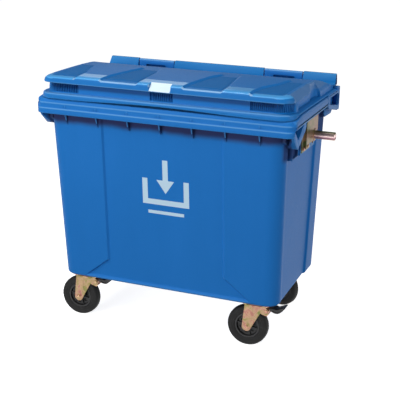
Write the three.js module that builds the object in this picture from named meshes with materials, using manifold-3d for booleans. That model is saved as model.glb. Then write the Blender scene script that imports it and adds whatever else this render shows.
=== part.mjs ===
// Four-wheeled waste container, 660 litre class, with a flat hinged lid.
// Millimetres, +Z up, origin on the floor under the middle of the object,
// front of the container towards -Y, +X to the right seen from the front.
import * as THREE from 'three';
import { mergeVertices } from 'three/addons/utils/BufferGeometryUtils.js';
import Module from 'manifold-3d';

const wasm = await Module();
wasm.setup();

// ---------------------------------------------------------------- driving dimensions
const CLEAR = 0.3;              // running and seating gap between separate pieces

// tub
const WALL = 6;                 // moulded wall thickness
const FLOOR_Z = 230;            // underside of the tub
const FLOOR_T = 8;
const WALL_TOP_Z = 1122;
const HX_BOTTOM = 552, HX_TOP = 576;        // half width at the floor and under the rim
const YF_BOTTOM = -290, YF_TOP = -366;      // front wall
const YR_BOTTOM = 340, YR_TOP = 348;        // rear wall
const R_FRONT = 66, R_REAR = 36;            // vertical corner radii
const PANEL_X = 302, PANEL_DEPTH = 9, PANEL_STEP = 11;   // recessed front panel
const PANEL_FOOT_X = 425;                   // half width of the panel at its splayed foot
const PANEL_KNEE_Z = 345, PANEL_FOOT_Z = 246;
const SIDE_RECESS = 9, POST_Y = 190;        // side panel lies back from the rear corner post

// rim
const RIM_X = 630, RIM_YF = -385, RIM_YR = 383, RIM_R = 44;
const RIM_LOW_Z = 1056, RIM_MID_Z = 1082, RIM_SLOPE_Z = 1106, RIM_TOP_Z = 1124;
const RIM_RAISE = 17;                       // the rim climbs this much behind the front corners
const GUSSET_PITCH = 157;

// lid
const LID_X = 622, LID_YF = -378, LID_YR = 349;
const LID_LOW_Z = 1127, LID_TIER_Z = 1151;
const NECK_Y = -352, LIP_LOW_Z = 1200, DECK_Z = 1240;
const LID_T = 4.5;

// lid hinge
const HINGE_Y = 374, HINGE_Z = 1205;
const STRUT_X = 618;                          // outer face of the triangular struts under the front corners
const BLOCK_IN = 246, BLOCK_OUT = 442;      // tub grip handles that carry the lid
const SLOT_IN = 292, SLOT_OUT = 403;
const BEAM_GAP = 4, BEAM_END_X = 613, BEAM_REAR_Y = 385, BEAM_TOP_Z = 1218.5;
const HINGE_PIN_R = 6;

// trunnions
const PIN_Y = 118, PIN_Z = 968, PIN_R = 20, PIN_END_X = 685;
const PAD_X = 568, BRACKET_FACE_X = 584, BRACKET_T = 4;

// castors
const WHEEL_R = 100, TYRE_HALF = 23.5, TYRE_INNER_R = 62, TRAIL = 46;
const CASTOR_X = 445, CASTOR_YF = -220, CASTOR_YR = 284;
const REAR_SWING = -20;                     // degrees the free rear castors have turned from the front ones
const FORK_IN = 27.5, FORK_OUT = 31.5;      // fork leg faces from the wheel's mid plane
const CROWN_LOW = 212, CROWN_TOP = 216.5;
const PLATE_LOW = 224.6, PLATE_X = 67, PLATE_Y = 52;
const AXLE_R = 6, BOLT_X = 52, BOLT_Y = 38, BOLT_R = 5;
const BRAKE_DX = 96, BRAKE_Z = 192;         // brake pivot, measured from the wheel centre and the floor

// ---------------------------------------------------------------- colours
const BLUE = { color: 0x1f62b4, roughness: 0.42, metalness: 0 };
const ZINC = { color: 0xcdb68c, roughness: 0.35, metalness: 0.85 };
const BLACK = { color: 0x1c1c1e, roughness: 0.6, metalness: 0 };
const RUBBER = { color: 0x202022, roughness: 0.8, metalness: 0 };

// ---------------------------------------------------------------- solids from three.js shapes
function weld(g) {
  const c = g.index ? g.clone() : g.clone();
  c.deleteAttribute('normal');
  c.deleteAttribute('uv');
  c.clearGroups();
  return mergeVertices(c, 1e-4);
}
function volumeOf(pos, idx) {
  let v = 0;
  for (let i = 0; i < idx.length; i += 3) {
    const a = idx[i] * 3, b = idx[i + 1] * 3, c = idx[i + 2] * 3;
    v += pos[a] * (pos[b + 1] * pos[c + 2] - pos[b + 2] * pos[c + 1])
       - pos[a + 1] * (pos[b] * pos[c + 2] - pos[b + 2] * pos[c])
       + pos[a + 2] * (pos[b] * pos[c + 1] - pos[b + 1] * pos[c]);
  }
  return v / 6;
}
function solid(g) {
  const c = weld(g);
  const pos = new Float32Array(c.attributes.position.array);
  const idx = new Uint32Array(c.index.array);
  if (volumeOf(pos, idx) < 0) for (let i = 0; i < idx.length; i += 3) { const t = idx[i]; idx[i] = idx[i + 1]; idx[i + 1] = t; }
  return new wasm.Manifold(new wasm.Mesh({ numProp: 3, vertProperties: pos, triVerts: idx }));
}
function geometry(m) {
  const k = m.getMesh();
  const g = new THREE.BufferGeometry();
  g.setAttribute('position', new THREE.BufferAttribute(new Float32Array(k.vertProperties), 3));
  g.setIndex(new THREE.BufferAttribute(new Uint32Array(k.triVerts), 1));
  g.computeVertexNormals();
  return g;
}
const join = (first, ...rest) => rest.reduce((a, b) => a.add(b), first);
const cut = (first, ...rest) => rest.reduce((a, b) => a.subtract(b), first);

function box(x0, x1, y0, y1, z0, z1) {
  const g = new THREE.BoxGeometry(x1 - x0, y1 - y0, z1 - z0);
  g.translate((x0 + x1) / 2, (y0 + y1) / 2, (z0 + z1) / 2);
  return solid(g);
}
function outline(points, holes = []) {
  const s = new THREE.Shape(points.map(([a, b]) => new THREE.Vector2(a, b)));
  for (const h of holes) s.holes.push(new THREE.Path(h.map(([a, b]) => new THREE.Vector2(a, b))));
  return s;
}
const FRAME_X = new THREE.Matrix4().makeBasis(new THREE.Vector3(0, 1, 0), new THREE.Vector3(0, 0, 1), new THREE.Vector3(1, 0, 0));
const FRAME_Y = new THREE.Matrix4().makeBasis(new THREE.Vector3(1, 0, 0), new THREE.Vector3(0, 0, 1), new THREE.Vector3(0, -1, 0));
function slab(axis, points, a, b, holes) {
  const g = new THREE.ExtrudeGeometry(outline(points, holes), { depth: b - a, bevelEnabled: false, steps: 1, curveSegments: 1 });
  if (axis === 'x') { g.applyMatrix4(FRAME_X); g.translate(a, 0, 0); }
  if (axis === 'y') { g.applyMatrix4(FRAME_Y); g.translate(0, b, 0); }
  if (axis === 'z') g.translate(0, 0, a);
  return solid(g);
}
function rod(axis, r, a, b, u, v, n = 16, r2 = r) {
  const g = new THREE.CylinderGeometry(r2, r, b - a, n);       // r at a, r2 at b
  g.translate(0, (a + b) / 2, 0);
  if (axis === 'x') { g.rotateZ(-Math.PI / 2); g.translate(0, u, v); }
  if (axis === 'y') g.translate(u, 0, v);
  if (axis === 'z') { g.rotateX(Math.PI / 2); g.translate(u, v, 0); }
  return solid(g);
}
function turned(axis, profile, u, v, n) {                       // profile of [radius, place along the axis]
  const g = new THREE.LatheGeometry(profile.map(([r, t]) => new THREE.Vector2(r, t)), n);
  if (axis === 'y') { g.rotateY(Math.PI / n); g.rotateY(-Math.PI / n); g.translate(u, 0, v); }
  if (axis === 'z') { g.rotateX(Math.PI / 2); g.translate(u, v, 0); }
  return solid(g);
}
// a stack of plan outlines, lowest last; each outline is a list of [x, y, z] and all have one length
function stack(rings) {
  const n = rings[0].length, m = rings.length - 1;
  const g = new THREE.CylinderGeometry(1, 1, 1, n, m);
  const p = g.attributes.position;
  const mid = ring => ring.reduce((s, q) => [s[0], s[1] + q[1] / n, s[2] + q[2] / n], [0, 0, 0]);
  for (let i = 0; i < p.count; i++) {
    const x = p.getX(i), y = p.getY(i), z = p.getZ(i);
    const level = Math.round((0.5 - y) * m);
    const q = Math.hypot(x, z) < 1e-6 ? mid(rings[level])
      : rings[level][((Math.round(Math.atan2(x, z) / (2 * Math.PI) * n) % n) + n) % n];
    p.setXYZ(i, q[0], q[1], q[2]);
  }
  return solid(g);
}
const lerp = (a, b, t) => a + (b - a) * t;
const smooth = (a, b, t) => { const s = Math.min(1, Math.max(0, (t - a) / (b - a))); return s * s * (3 - 2 * s); };
function arc(cx, cy, r, from, to, n) {
  const out = [];
  for (let i = 0; i <= n; i++) {
    const a = (from + (to - from) * i / n) * Math.PI / 180;
    out.push([cx + r * Math.cos(a), cy + r * Math.sin(a)]);
  }
  return out;
}
// right half from the front middle round to the rear middle, then its mirror image
function bothHalves(half) {
  const left = half.slice(1, -1).reverse().map(([x, y]) => [-x, y]);
  return [...half, ...left];
}

// ---------------------------------------------------------------- tub
const raise = y => RIM_RAISE * smooth(-372, -245, y);
function wallRing(z, inset, zOut = z, rise = 0) {
  const t = (z - FLOOR_Z) / (WALL_TOP_Z - FLOOR_Z);
  const hx = lerp(HX_BOTTOM, HX_TOP, t) - inset;
  const yf = lerp(YF_BOTTOM, YF_TOP, t) + inset;
  const yr = lerp(YR_BOTTOM, YR_TOP, t) - inset;
  const rf = R_FRONT - inset, rr = R_REAR - inset;
  const k = Math.min(1, Math.max(0, (z - PANEL_FOOT_Z) / (PANEL_KNEE_Z - PANEL_FOOT_Z)));
  const s = lerp(PANEL_FOOT_X, PANEL_X, k);
  const d = z < PANEL_FOOT_Z - 1 ? 0 : PANEL_DEPTH;
  const half = [
    [0, yf + d], [s - PANEL_STEP, yf + d], [s, yf],
    ...arc(hx - rf, yf + rf, rf, -90, 0, 5),
    [hx - SIDE_RECESS, yf + rf + 60], [hx - SIDE_RECESS, POST_Y], [hx, POST_Y + 9],
    ...arc(hx - rr, yr - rr, rr, 0, 90, 3), [0, yr]];
  return bothHalves(half).map(([x, y]) => [x, y, zOut + rise * raise(y)]);
}
function rimRing(inset, z, rise) {
  const hx = RIM_X - inset, yf = RIM_YF + inset, yr = RIM_YR - inset, r = Math.max(6, RIM_R - inset);
  const half = [[0, yf], ...arc(hx - r, yf + r, r, -90, 0, 4), [hx, -245], [hx, 150],
    ...arc(hx - r, yr - r, r, 0, 90, 3), [0, yr]];
  return bothHalves(half).map(([x, y]) => [x, y, z + rise * raise(y)]);
}

const wallOuter = stack([wallRing(WALL_TOP_Z, 0, WALL_TOP_Z, 1), wallRing(PANEL_KNEE_Z, 0),
  wallRing(PANEL_FOOT_Z, 0), wallRing(FLOOR_Z + 12, 0), wallRing(FLOOR_Z, 12)]);
const wallInner = stack([wallRing(WALL_TOP_Z, WALL, WALL_TOP_Z + 60), wallRing(PANEL_KNEE_Z, WALL),
  wallRing(PANEL_FOOT_Z, WALL, FLOOR_Z + FLOOR_T + 12), wallRing(FLOOR_Z + 12, WALL + 10, FLOOR_Z + FLOOR_T)]);

const rimOuter = stack([rimRing(40, RIM_TOP_Z, 1), rimRing(17, RIM_TOP_Z, 1), rimRing(3, RIM_SLOPE_Z, 1), rimRing(3, RIM_MID_Z + 3, 0),
  rimRing(0, RIM_MID_Z, 0), rimRing(0, RIM_LOW_Z, 0)]);
const rimInner = stack([rimRing(30, RIM_TOP_Z - 5.5, 1), rimRing(19, RIM_TOP_Z - 5.5, 1), rimRing(8.5, RIM_SLOPE_Z - 3, 1),
  rimRing(5.5, RIM_MID_Z, 0), rimRing(5.5, RIM_LOW_Z - 10, 0)]);
let rim = cut(rimOuter, rimInner);
// the side skirt is shallow between the front strut and the rear corner handle
for (const s of [-1, 1]) {
  const a = s > 0 ? 560 : -660, b = s > 0 ? 660 : -560;
  rim = cut(rim, slab('x', [[-368, 1040], [-362, 1090], [-245, 1093], [160, 1098], [180, 1131], [350, 1131], [350, 1040]], a, b));
}

const parts = [wallOuter, rim];
// ribs under the front rim
for (let i = -3; i <= 3; i++) {
  const x = i * GUSSET_PITCH - 2;
  parts.push(slab('x', [[-381.5, RIM_LOW_Z + 3], [-358, 1006], [-350, 1010], [-350, 1121], [-381.5, 1106]], x - 2.5, x + 2.5));
}
// triangular strut, socket boss, rear corner handle and bracket pad on each side
function side(s, a, b) { return s > 0 ? [a, b] : [-b, -a]; }
for (const s of [-1, 1]) {
  const flank = [[STRUT_X, -380], [STRUT_X, -150], [569, -150], [569, -292], [592, -318], [604, -340], [605, -380]];
  const plan = slab('z', s > 0 ? flank : flank.map(([x, y]) => [-x, y]).reverse(), 960, 1130);
  const vee = slab('x', [[-357, 1106], [-354, 1032], [-292, 990], [-276, 988], [-222, 1006], [-176, 1034], [-160, 1064], [-160, 1108]], ...side(s, 500, 640),
    [[[-342, 1092], [-234, 1098], [-264, 1052], [-288, 1034]]]);
  parts.push(vee.intersect(plan));
  parts.push(box(...side(s, 560, 588), -262, -172, 928, 992));
  const grip = slab('x', [[164, 1098], [178, 1082], [186, 1078], [374, 1044], [384.7, 1048], [384.7, 1160], [352, 1160], [352, 1141], [164, 1141]],
    ...side(s, 606, 630), [[[204, 1098], [346, 1071], [346, 1131], [198, 1131], [198, 1102]]]);
  parts.push(grip);
  parts.push(box(...side(s, 560, 630), 346, 383, 1044, 1056), box(...side(s, 590, 630), 352, 384.7, 1100, 1160));
  parts.push(box(...side(s, 556, PAD_X), -66, 180, 905, 1105));
}
// grip handles on the rear rim, which carry the lid's hinge pins
for (const s of [-1, 1]) {
  const stem = slab('x', [[362, 1130], [362, HINGE_Z], [384.5, HINGE_Z], [384.5, 1130]], ...side(s, BLOCK_IN, BLOCK_OUT));
  const bar = rod('x', 12.5, ...side(s, BLOCK_IN, BLOCK_OUT), HINGE_Y - 1.5, HINGE_Z, 16);
  const slot = box(...side(s, SLOT_IN, SLOT_OUT), 340, 378, 1160, 1191);
  const back = join(box(...side(s, BLOCK_IN + 6, SLOT_IN - 6), 368, 400, 1150, 1188),
    box(...side(s, SLOT_OUT + 6, BLOCK_OUT - 6), 368, 400, 1150, 1188));
  parts.push(cut(join(stem, bar), slot, back));
}
let tub = cut(join(...parts), wallInner);
// the castor bosses stand inside the floor
const bosses = [];
for (const sx of [-1, 1]) for (const y of [CASTOR_YF, CASTOR_YR])
  bosses.push(box(sx * CASTOR_X - 74, sx * CASTOR_X + 74, y - 46, Math.min(y + 60, 336), FLOOR_Z + 1, FLOOR_Z + 22));
tub = join(tub, ...bosses.map(b => b.intersect(wallOuter)));
for (const sx of [-1, 1]) for (const y of [CASTOR_YF, CASTOR_YR])
  for (const bx of [-BOLT_X, BOLT_X]) for (const by of [-BOLT_Y, BOLT_Y])
    tub = cut(tub, rod('z', BOLT_R + CLEAR, FLOOR_Z - 10, FLOOR_Z + 18.3, sx * CASTOR_X + bx, y + by, 8));
for (const s of [-1, 1]) tub = cut(tub, rod('x', HINGE_PIN_R + CLEAR, ...side(s, BLOCK_IN - 5, BLOCK_OUT + 5), HINGE_Y, HINGE_Z, 12));
for (const s of [-1, 1]) for (const y of [-32, 42]) tub = cut(tub, rod('x', BOLT_R + CLEAR, ...side(s, 559, 600), y, 930, 8));
tub = cut(tub, rod('z', 22, FLOOR_Z - 5, FLOOR_Z + FLOOR_T + 5, 0, -150, 16));

// ---------------------------------------------------------------- lid
const deck = [[-345, 1239], [-180, 1241], [-20, 1240], [60, 1236], [130, 1226], [200, 1210], [260, 1192], [300, 1180], [328, 1175]];
const lidOut = [[LID_YF, LID_LOW_Z], [LID_YF, LID_TIER_Z - 2], [LID_YF + 3, LID_TIER_Z], [NECK_Y, LID_TIER_Z + 1.5], [NECK_Y, LIP_LOW_Z - 4],
  [LID_YF + 3, LIP_LOW_Z], [LID_YF, LIP_LOW_Z + 3], [LID_YF, 1230], [-372, 1235], ...deck, [LID_YR, 1174],
  [LID_YR, LID_LOW_Z + RIM_RAISE], [-245, LID_LOW_Z + RIM_RAISE], [-300, LID_LOW_Z + 11], [-372, LID_LOW_Z]];
const lidIn = [[-373.5, 1090], [-373.5, LID_TIER_Z - 4], [NECK_Y + 4.5, LID_TIER_Z - 2.5], [NECK_Y + 4.5, LIP_LOW_Z + 1],
  [-373.5, LIP_LOW_Z + 5], [-373.5, 1228], [-370, 1231], ...deck.map(([y, z]) => [y + 1, z - LID_T]), [LID_YR - 4.5, 1169.5], [LID_YR - 4.5, 1090]];
const ends = (o) => [[622 - o, 1080], [622 - o, LID_TIER_Z - 2 - o * 0.4], [619 - o, LID_TIER_Z - o * 0.4], [606 - o, LID_TIER_Z + 1.5 - o * 0.4],
  [604 - o, 1178], [575 - o, 1238 - o * 0.2], [566 - o, 1262]];
const endShape = o => { const r = ends(o); return [...r, ...r.slice().reverse().map(([x, z]) => [-x, z])]; };
const plan = (hx, yf, yr, rf, rr) => bothHalves([[0, yf], ...arc(hx - rf, yf + rf, rf, -90, 0, 6), ...arc(hx - rr, yr - rr, rr, 0, 90, 2), [0, yr]]);
const lidBody = (profile, o, y1) => {
  const raw = slab('x', profile, -640, 640).intersect(slab('y', endShape(o), -420, 420));
  const low = raw.intersect(slab('z', plan(LID_X - o, LID_YF + o, y1, 40 - o, 8), 1080, LID_TIER_Z + 1.7 - o * 0.4));
  const high = raw.intersect(slab('z', plan(606 - o, LID_YF + o, y1, 62 - o, 8), LID_TIER_Z - 1 - o * 0.4, 1270));
  return low.add(high);
};
let lid = lidBody(lidOut, 0, LID_YR);
const beam = (x0, x1) => cut(
  slab('x', [[344, 1166], [344, 1173], [350, 1175], [366, 1215], [370, BEAM_TOP_Z], [382, BEAM_TOP_Z], [BEAM_REAR_Y, BEAM_TOP_Z - 3], [BEAM_REAR_Y, 1170],
    [381, 1166]], x0, x1),
  slab('x', [[354, 1160], [354, 1172], [370, 1212], [380, 1213.5], [380, 1160]], x0 + 6, x1 - 6));
const beams = [[-BLOCK_IN + BEAM_GAP, BLOCK_IN - BEAM_GAP], [BLOCK_OUT + BEAM_GAP, BEAM_END_X], [-BEAM_END_X, -BLOCK_OUT - BEAM_GAP]];
lid = join(lid, ...beams.map(([a, b]) => beam(a, b)));
lid = cut(lid, lidBody(lidIn, LID_T, LID_YR - 4.5));
// shallow finger recesses in each end of the lid
for (const s of [-1, 1]) {
  const grip = slab('x', [[-262, 1156], [-262, 1190], [-40, 1196], [-5, 1226], [70, 1226], [92, 1190], [104, 1156]], ...side(s, 594, 640));
  lid = cut(lid, grip);
  lid = join(lid, slab('x', [[-266, 1152], [-266, 1194], [-43, 1200], [-8, 1231], [74, 1231], [96, 1194], [108, 1152]], ...side(s, 562, 594))
    .intersect(lidBody(lidOut, 0, LID_YR)).intersect(slab('y', s > 0 ? [[589, 1150], [594, 1150], [594, 1200], [580, 1232], [572, 1232]]
      : [[-589, 1150], [-572, 1232], [-580, 1232], [-594, 1200], [-594, 1150]], -300, 300)));
}
for (const s of [-1, 1]) lid = cut(lid, rod('x', HINGE_PIN_R + CLEAR, ...side(s, BLOCK_IN - 22, BLOCK_OUT + 20), HINGE_Y, HINGE_Z, 12));

// ---------------------------------------------------------------- trunnions
function bracket(s) {
  const x0 = PAD_X + CLEAR, xf = BRACKET_FACE_X;
  const face = slab('x', [[-20, 1084], [-20, 955], [8, 918], [70, 918], [168, 985], [168, 1084]], ...side(s, xf - BRACKET_T, xf));
  const foot = slab('x', [[-58, 1000], [-58, 914], [70, 914], [70, 946], [-24, 946], [-24, 1000]], ...side(s, x0, x0 + BRACKET_T));
  const webF = slab('x', [[-24, 1084], [-24, 918], [-20, 918], [-20, 1084]], ...side(s, x0, xf));
  const webR = slab('x', [[164, 1084], [164, 985], [168, 985], [168, 1084]], ...side(s, x0, xf));
  const webL = slab('x', [[-22, 950], [-22, 946], [72, 946], [168, 985], [166, 989], [70, 950]], ...side(s, x0, xf));
  const lug = slab('x', [[-24, 1084], [-24, 1080], [168, 1080], [168, 1084]], ...side(s, x0, xf));
  let b = join(face, foot, webF, webR, webL, lug);
  b = cut(b, slab('x', [[-22, 944], [8, 900], [90, 900], [90, 944]], ...side(s, xf - BRACKET_T - 1, xf + 1)));
  for (const y of [-32, 42]) b = cut(b, rod('x', BOLT_R + CLEAR, ...side(s, 560, x0 + BRACKET_T + 1), y, 930, 8));
  return b;
}
function trunnionPin(s) {
  const a = BRACKET_FACE_X + CLEAR;
  const body = join(rod('x', PIN_R, ...side(s, a, PIN_END_X - 3), PIN_Y, PIN_Z, 20),
    s > 0 ? rod('x', PIN_R, PIN_END_X - 3, PIN_END_X, PIN_Y, PIN_Z, 20, PIN_R - 3)
      : rod('x', PIN_R - 3, -PIN_END_X, -PIN_END_X + 3, PIN_Y, PIN_Z, 20, PIN_R));
  return body;
}
function bracketBolt(s, y) {
  const a = PAD_X + CLEAR + BRACKET_T + CLEAR;
  return join(rod('x', 8.5, ...side(s, a, a + 6), y, 930, 6), rod('x', BOLT_R, ...side(s, 559.5, a + 1), y, 930, 8));
}

// ---------------------------------------------------------------- castors, built about the swivel axis at the floor
function castorPlate() {
  const plate = slab('z', bothHalves([[0, -PLATE_Y], [PLATE_X - 8, -PLATE_Y], [PLATE_X, -PLATE_Y + 8], [PLATE_X, PLATE_Y - 8], [PLATE_X - 8, PLATE_Y], [0, PLATE_Y]]),
    PLATE_LOW, FLOOR_Z - CLEAR);
  const cup = turned('z', [[0, PLATE_LOW + 1], [31, PLATE_LOW + 1], [31, PLATE_LOW - 2], [26, CROWN_TOP + 0.6], [0, CROWN_TOP + 0.6]], 0, 0, 16);
  const king = turned('z', [[0, PLATE_LOW], [7, PLATE_LOW], [7, CROWN_LOW - 0.6], [11, CROWN_LOW - 0.6], [11, CROWN_LOW - 3.6], [0, CROWN_LOW - 4.4]], 0, 0, 12);
  let p = join(plate, cup, king);
  for (const bx of [-BOLT_X, BOLT_X]) for (const by of [-BOLT_Y, BOLT_Y]) p = cut(p, rod('z', BOLT_R + CLEAR, PLATE_LOW - 4, FLOOR_Z + 4, bx, by, 8));
  return p;
}
function fork(braked) {
  const cx = -TRAIL;
  const leg = (y0, y1) => slab('y', [...arc(cx, WHEEL_R, 22, 180, 346, 6), [cx + 68, 181], [cx + 84, CROWN_LOW + 2], [cx + 84, CROWN_TOP], [cx - 11, CROWN_TOP]], y0, y1);
  const crown = slab('z', [[cx - 11, -FORK_OUT], [cx + 84, -FORK_OUT], [cx + 84, FORK_OUT], [cx - 11, FORK_OUT]], CROWN_LOW, CROWN_TOP);
  let f = join(crown, leg(-FORK_OUT, -FORK_IN), leg(FORK_IN, FORK_OUT));
  if (braked) {
    const ear = (y0, y1) => slab('y', [[cx + 60, 172], [cx + 66, 178], [cx + 84, 172], [cx + 100, 178], [cx + 106, 190], [cx + 104, 202], [cx + 84, CROWN_TOP], [cx + 60, CROWN_TOP]], y0, y1);
    f = join(f, ear(-FORK_OUT, -FORK_IN), ear(FORK_IN, FORK_OUT));
    f = cut(f, rod('y', 5 + CLEAR, -50, 50, cx + BRAKE_DX, BRAKE_Z, 8));
  }
  f = cut(f, rod('z', 7 + CLEAR, 190, 230, 0, 0, 12), rod('y', AXLE_R + CLEAR, -50, 50, cx, WHEEL_R, 8));
  return f;
}
function hub() {
  const cx = -TRAIL;
  let h = turned('y', [[AXLE_R + CLEAR, -26], [17.5, -26], [19, -8], [44, -7], [54, -20], [TYRE_INNER_R - CLEAR, -20], [TYRE_INNER_R - CLEAR, 20], [54, 20],
    [44, 7], [19, 8], [17.5, 26], [AXLE_R + CLEAR, 26], [AXLE_R + CLEAR, -26]], cx, WHEEL_R, 20);
  for (let i = 0; i < 5; i++) {
    const a = (i + 0.5) / 5 * 2 * Math.PI;
    h = cut(h, rod('y', 9, -30, 30, cx + 32 * Math.cos(a), WHEEL_R + 32 * Math.sin(a), 6));
  }
  return h;
}
function tyre() {
  return turned('y', [[TYRE_INNER_R, -20.5], [84, -TYRE_HALF], [95.5, -18], [WHEEL_R, -6], [WHEEL_R, 6], [95.5, 18], [84, TYRE_HALF],
    [TYRE_INNER_R, 20.5], [TYRE_INNER_R, -20.5]], -TRAIL, WHEEL_R, 32);
}
function axleBolt() {
  const cx = -TRAIL;
  return join(rod('y', 10.5, -FORK_OUT - CLEAR - 7, -FORK_OUT - CLEAR, cx, WHEEL_R, 6), rod('y', AXLE_R, -FORK_OUT - CLEAR - 1, FORK_OUT + 11, cx, WHEEL_R, 8));
}
function axleNut() {
  return cut(rod('y', 10.5, FORK_OUT + CLEAR, FORK_OUT + CLEAR + 9, -TRAIL, WHEEL_R, 6), rod('y', AXLE_R + CLEAR, 20, 60, -TRAIL, WHEEL_R, 8));
}
function castorBolt(bx, by) {
  return join(rod('z', 8.5, PLATE_LOW - CLEAR - 5.5, PLATE_LOW - CLEAR, bx, by, 6), rod('z', BOLT_R, PLATE_LOW - CLEAR - 1, FLOOR_Z + 18, bx, by, 8));
}
function brakePedal() {
  const cx = -TRAIL;
  const wing = slab('y', [[cx + 104, 207.2], [cx + 132, 209], [cx + 141, 205], [cx + 158, 213], [cx + 181, 222], [cx + 184, 220], [cx + 168, 200], [cx + 150, 188], [cx + 132, 188],
    [cx + 112, 196], [cx + 108, 200]], -27, 27);
  return wing;
}
function brakeCam() {
  const cx = -TRAIL;
  const boss = rod('y', 10, -26.5, 26.5, cx + BRAKE_DX, BRAKE_Z, 14);
  const shoe = slab('y', [[cx + 74, 178], [cx + 90, 184], [cx + 98, 184], [cx + 103, 172], [cx + 96, 165], [cx + 84, 166]], -22, 22);
  const tongue = slab('y', [[cx + 98, 184], [cx + 98, 198], [cx + 107.2, 195.6], [cx + 111.2, 195.2], [cx + 131.5, 187.4], [cx + 120, 184], [cx + 106, 184]], -22, 22);
  let c = join(boss, shoe, tongue);
  c = cut(c, rod('y', 5 + 3 * CLEAR, -60, 60, cx + BRAKE_DX, BRAKE_Z, 12));
  // stay outside the tyre with the brake off and on
  c = cut(c, rod('y', 106.5, -60, 60, cx, WHEEL_R, 48));
  return c;
}
function brakePin() {
  const cx = -TRAIL;
  return join(rod('y', 5, -FORK_OUT - 1, FORK_OUT + 1, cx + BRAKE_DX, BRAKE_Z, 8),
    rod('y', 8, -FORK_OUT - CLEAR - 2.5, -FORK_OUT - CLEAR, cx + BRAKE_DX, BRAKE_Z, 8),
    rod('y', 8, FORK_OUT + CLEAR, FORK_OUT + CLEAR + 2.5, cx + BRAKE_DX, BRAKE_Z, 8));
}

// ---------------------------------------------------------------- scene graph
const bin = new THREE.Group();
function add(parent, name, m, look) {
  const mesh = new THREE.Mesh(geometry(m), new THREE.MeshStandardMaterial(look));
  mesh.name = name;
  parent.add(mesh);
  return mesh;
}
add(bin, 'tub', tub, BLUE);
add(bin, 'lid', lid, BLUE);
for (const [side_, s] of [['left', -1], ['right', 1]])
  add(bin, `hinge_pin_${side_}`, rod('x', HINGE_PIN_R, ...side(s, BLOCK_IN - 20, BLOCK_OUT + 18), HINGE_Y, HINGE_Z, 12), ZINC);
add(bin, 'drain_plug', join(rod('z', 27, FLOOR_Z - 7, FLOOR_Z - CLEAR, 0, -150, 16), rod('z', 21.7, FLOOR_Z - 1, FLOOR_Z + FLOOR_T, 0, -150, 16),
  box(-4, 4, -168, -132, FLOOR_Z - 13, FLOOR_Z - 6.5)), BLACK);
for (const [side_, s] of [['left', -1], ['right', 1]]) {
  add(bin, `trunnion_bracket_${side_}`, bracket(s), ZINC);
  add(bin, `trunnion_pin_${side_}`, trunnionPin(s), ZINC);
  add(bin, `bracket_bolt_${side_}_front`, bracketBolt(s, -32), ZINC);
  add(bin, `bracket_bolt_${side_}_rear`, bracketBolt(s, 42), ZINC);
}
for (const [where, x, y, braked] of [['front_left', -CASTOR_X, CASTOR_YF, true], ['front_right', CASTOR_X, CASTOR_YF, true],
  ['rear_left', -CASTOR_X, CASTOR_YR, false], ['rear_right', CASTOR_X, CASTOR_YR, false]]) {
  const castor = new THREE.Group();
  castor.position.set(x, y, 0);
  const swivel = new THREE.Group();             // everything below the swivel race
  if (!braked) swivel.rotation.z = THREE.MathUtils.degToRad(REAR_SWING);
  castor.add(swivel);
  add(castor, `castor_plate_${where}`, castorPlate(), ZINC);
  add(swivel, `castor_fork_${where}`, fork(braked), ZINC);
  add(swivel, `wheel_hub_${where}`, hub(), BLACK);
  add(swivel, `wheel_tyre_${where}`, tyre(), RUBBER);
  add(swivel, `axle_bolt_${where}`, axleBolt(), ZINC);
  add(swivel, `axle_nut_${where}`, axleNut(), ZINC);
  [[-1, -1], [1, -1], [-1, 1], [1, 1]].forEach(([a, b], i) => add(castor, `castor_bolt_${where}_${i + 1}`, castorBolt(a * BOLT_X, b * BOLT_Y), ZINC));
  if (braked) {
    add(swivel, `brake_pedal_${where}`, brakePedal(), BLACK);
    add(swivel, `brake_cam_${where}`, brakeCam(), ZINC);
    add(swivel, `brake_pin_${where}`, brakePin(), ZINC);
  }
  bin.add(castor);
}
export default bin;
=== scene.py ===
import math
import bpy
import bmesh
from mathutils import Matrix, Vector
from mathutils.geometry import delaunay_2d_cdt


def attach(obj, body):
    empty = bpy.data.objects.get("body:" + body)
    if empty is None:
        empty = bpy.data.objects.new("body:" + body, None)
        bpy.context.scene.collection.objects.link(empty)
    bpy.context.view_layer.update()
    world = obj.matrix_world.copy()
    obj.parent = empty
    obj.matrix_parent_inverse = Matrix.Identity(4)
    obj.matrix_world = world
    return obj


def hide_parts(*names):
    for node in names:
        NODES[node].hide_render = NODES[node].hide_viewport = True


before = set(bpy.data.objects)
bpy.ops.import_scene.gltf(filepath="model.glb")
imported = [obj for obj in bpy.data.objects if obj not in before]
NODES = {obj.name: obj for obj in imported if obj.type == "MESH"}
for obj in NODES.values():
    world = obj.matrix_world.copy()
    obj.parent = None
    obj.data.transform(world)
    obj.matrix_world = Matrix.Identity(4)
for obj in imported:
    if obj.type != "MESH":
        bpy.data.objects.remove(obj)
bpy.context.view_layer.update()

S = 0.001                      # shapes below are written in millimetres


# ================================================================ small maths
def lerp(a, b, t):
    return a + (b - a) * t


def ss(a, b, t):
    s = min(1.0, max(0.0, (t - a) / (b - a)))
    return s * s * (3 - 2 * s)


def clamp(v, a=0.0, b=1.0):
    return min(b, max(a, v))


def spread(a, b, n, first=True, last=True):
    out = [a + (b - a) * i / n for i in range(n + 1)]
    if not first:
        out = out[1:]
    if not last:
        out = out[:-1]
    return out


def arc(cx, cy, r, a0, a1, n):
    return [(cx + r * math.cos(math.radians(lerp(a0, a1, i / n))), cy + r * math.sin(math.radians(lerp(a0, a1, i / n)))) for i in range(n + 1)]


def table(pts, v):
    """Straight lines between the points of a table, flat outside it."""
    if v <= pts[0][0]:
        return pts[0][1]
    for (a, fa), (b, fb) in zip(pts, pts[1:]):
        if v <= b:
            return fa + (fb - fa) * (v - a) / (b - a)
    return pts[-1][1]


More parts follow.
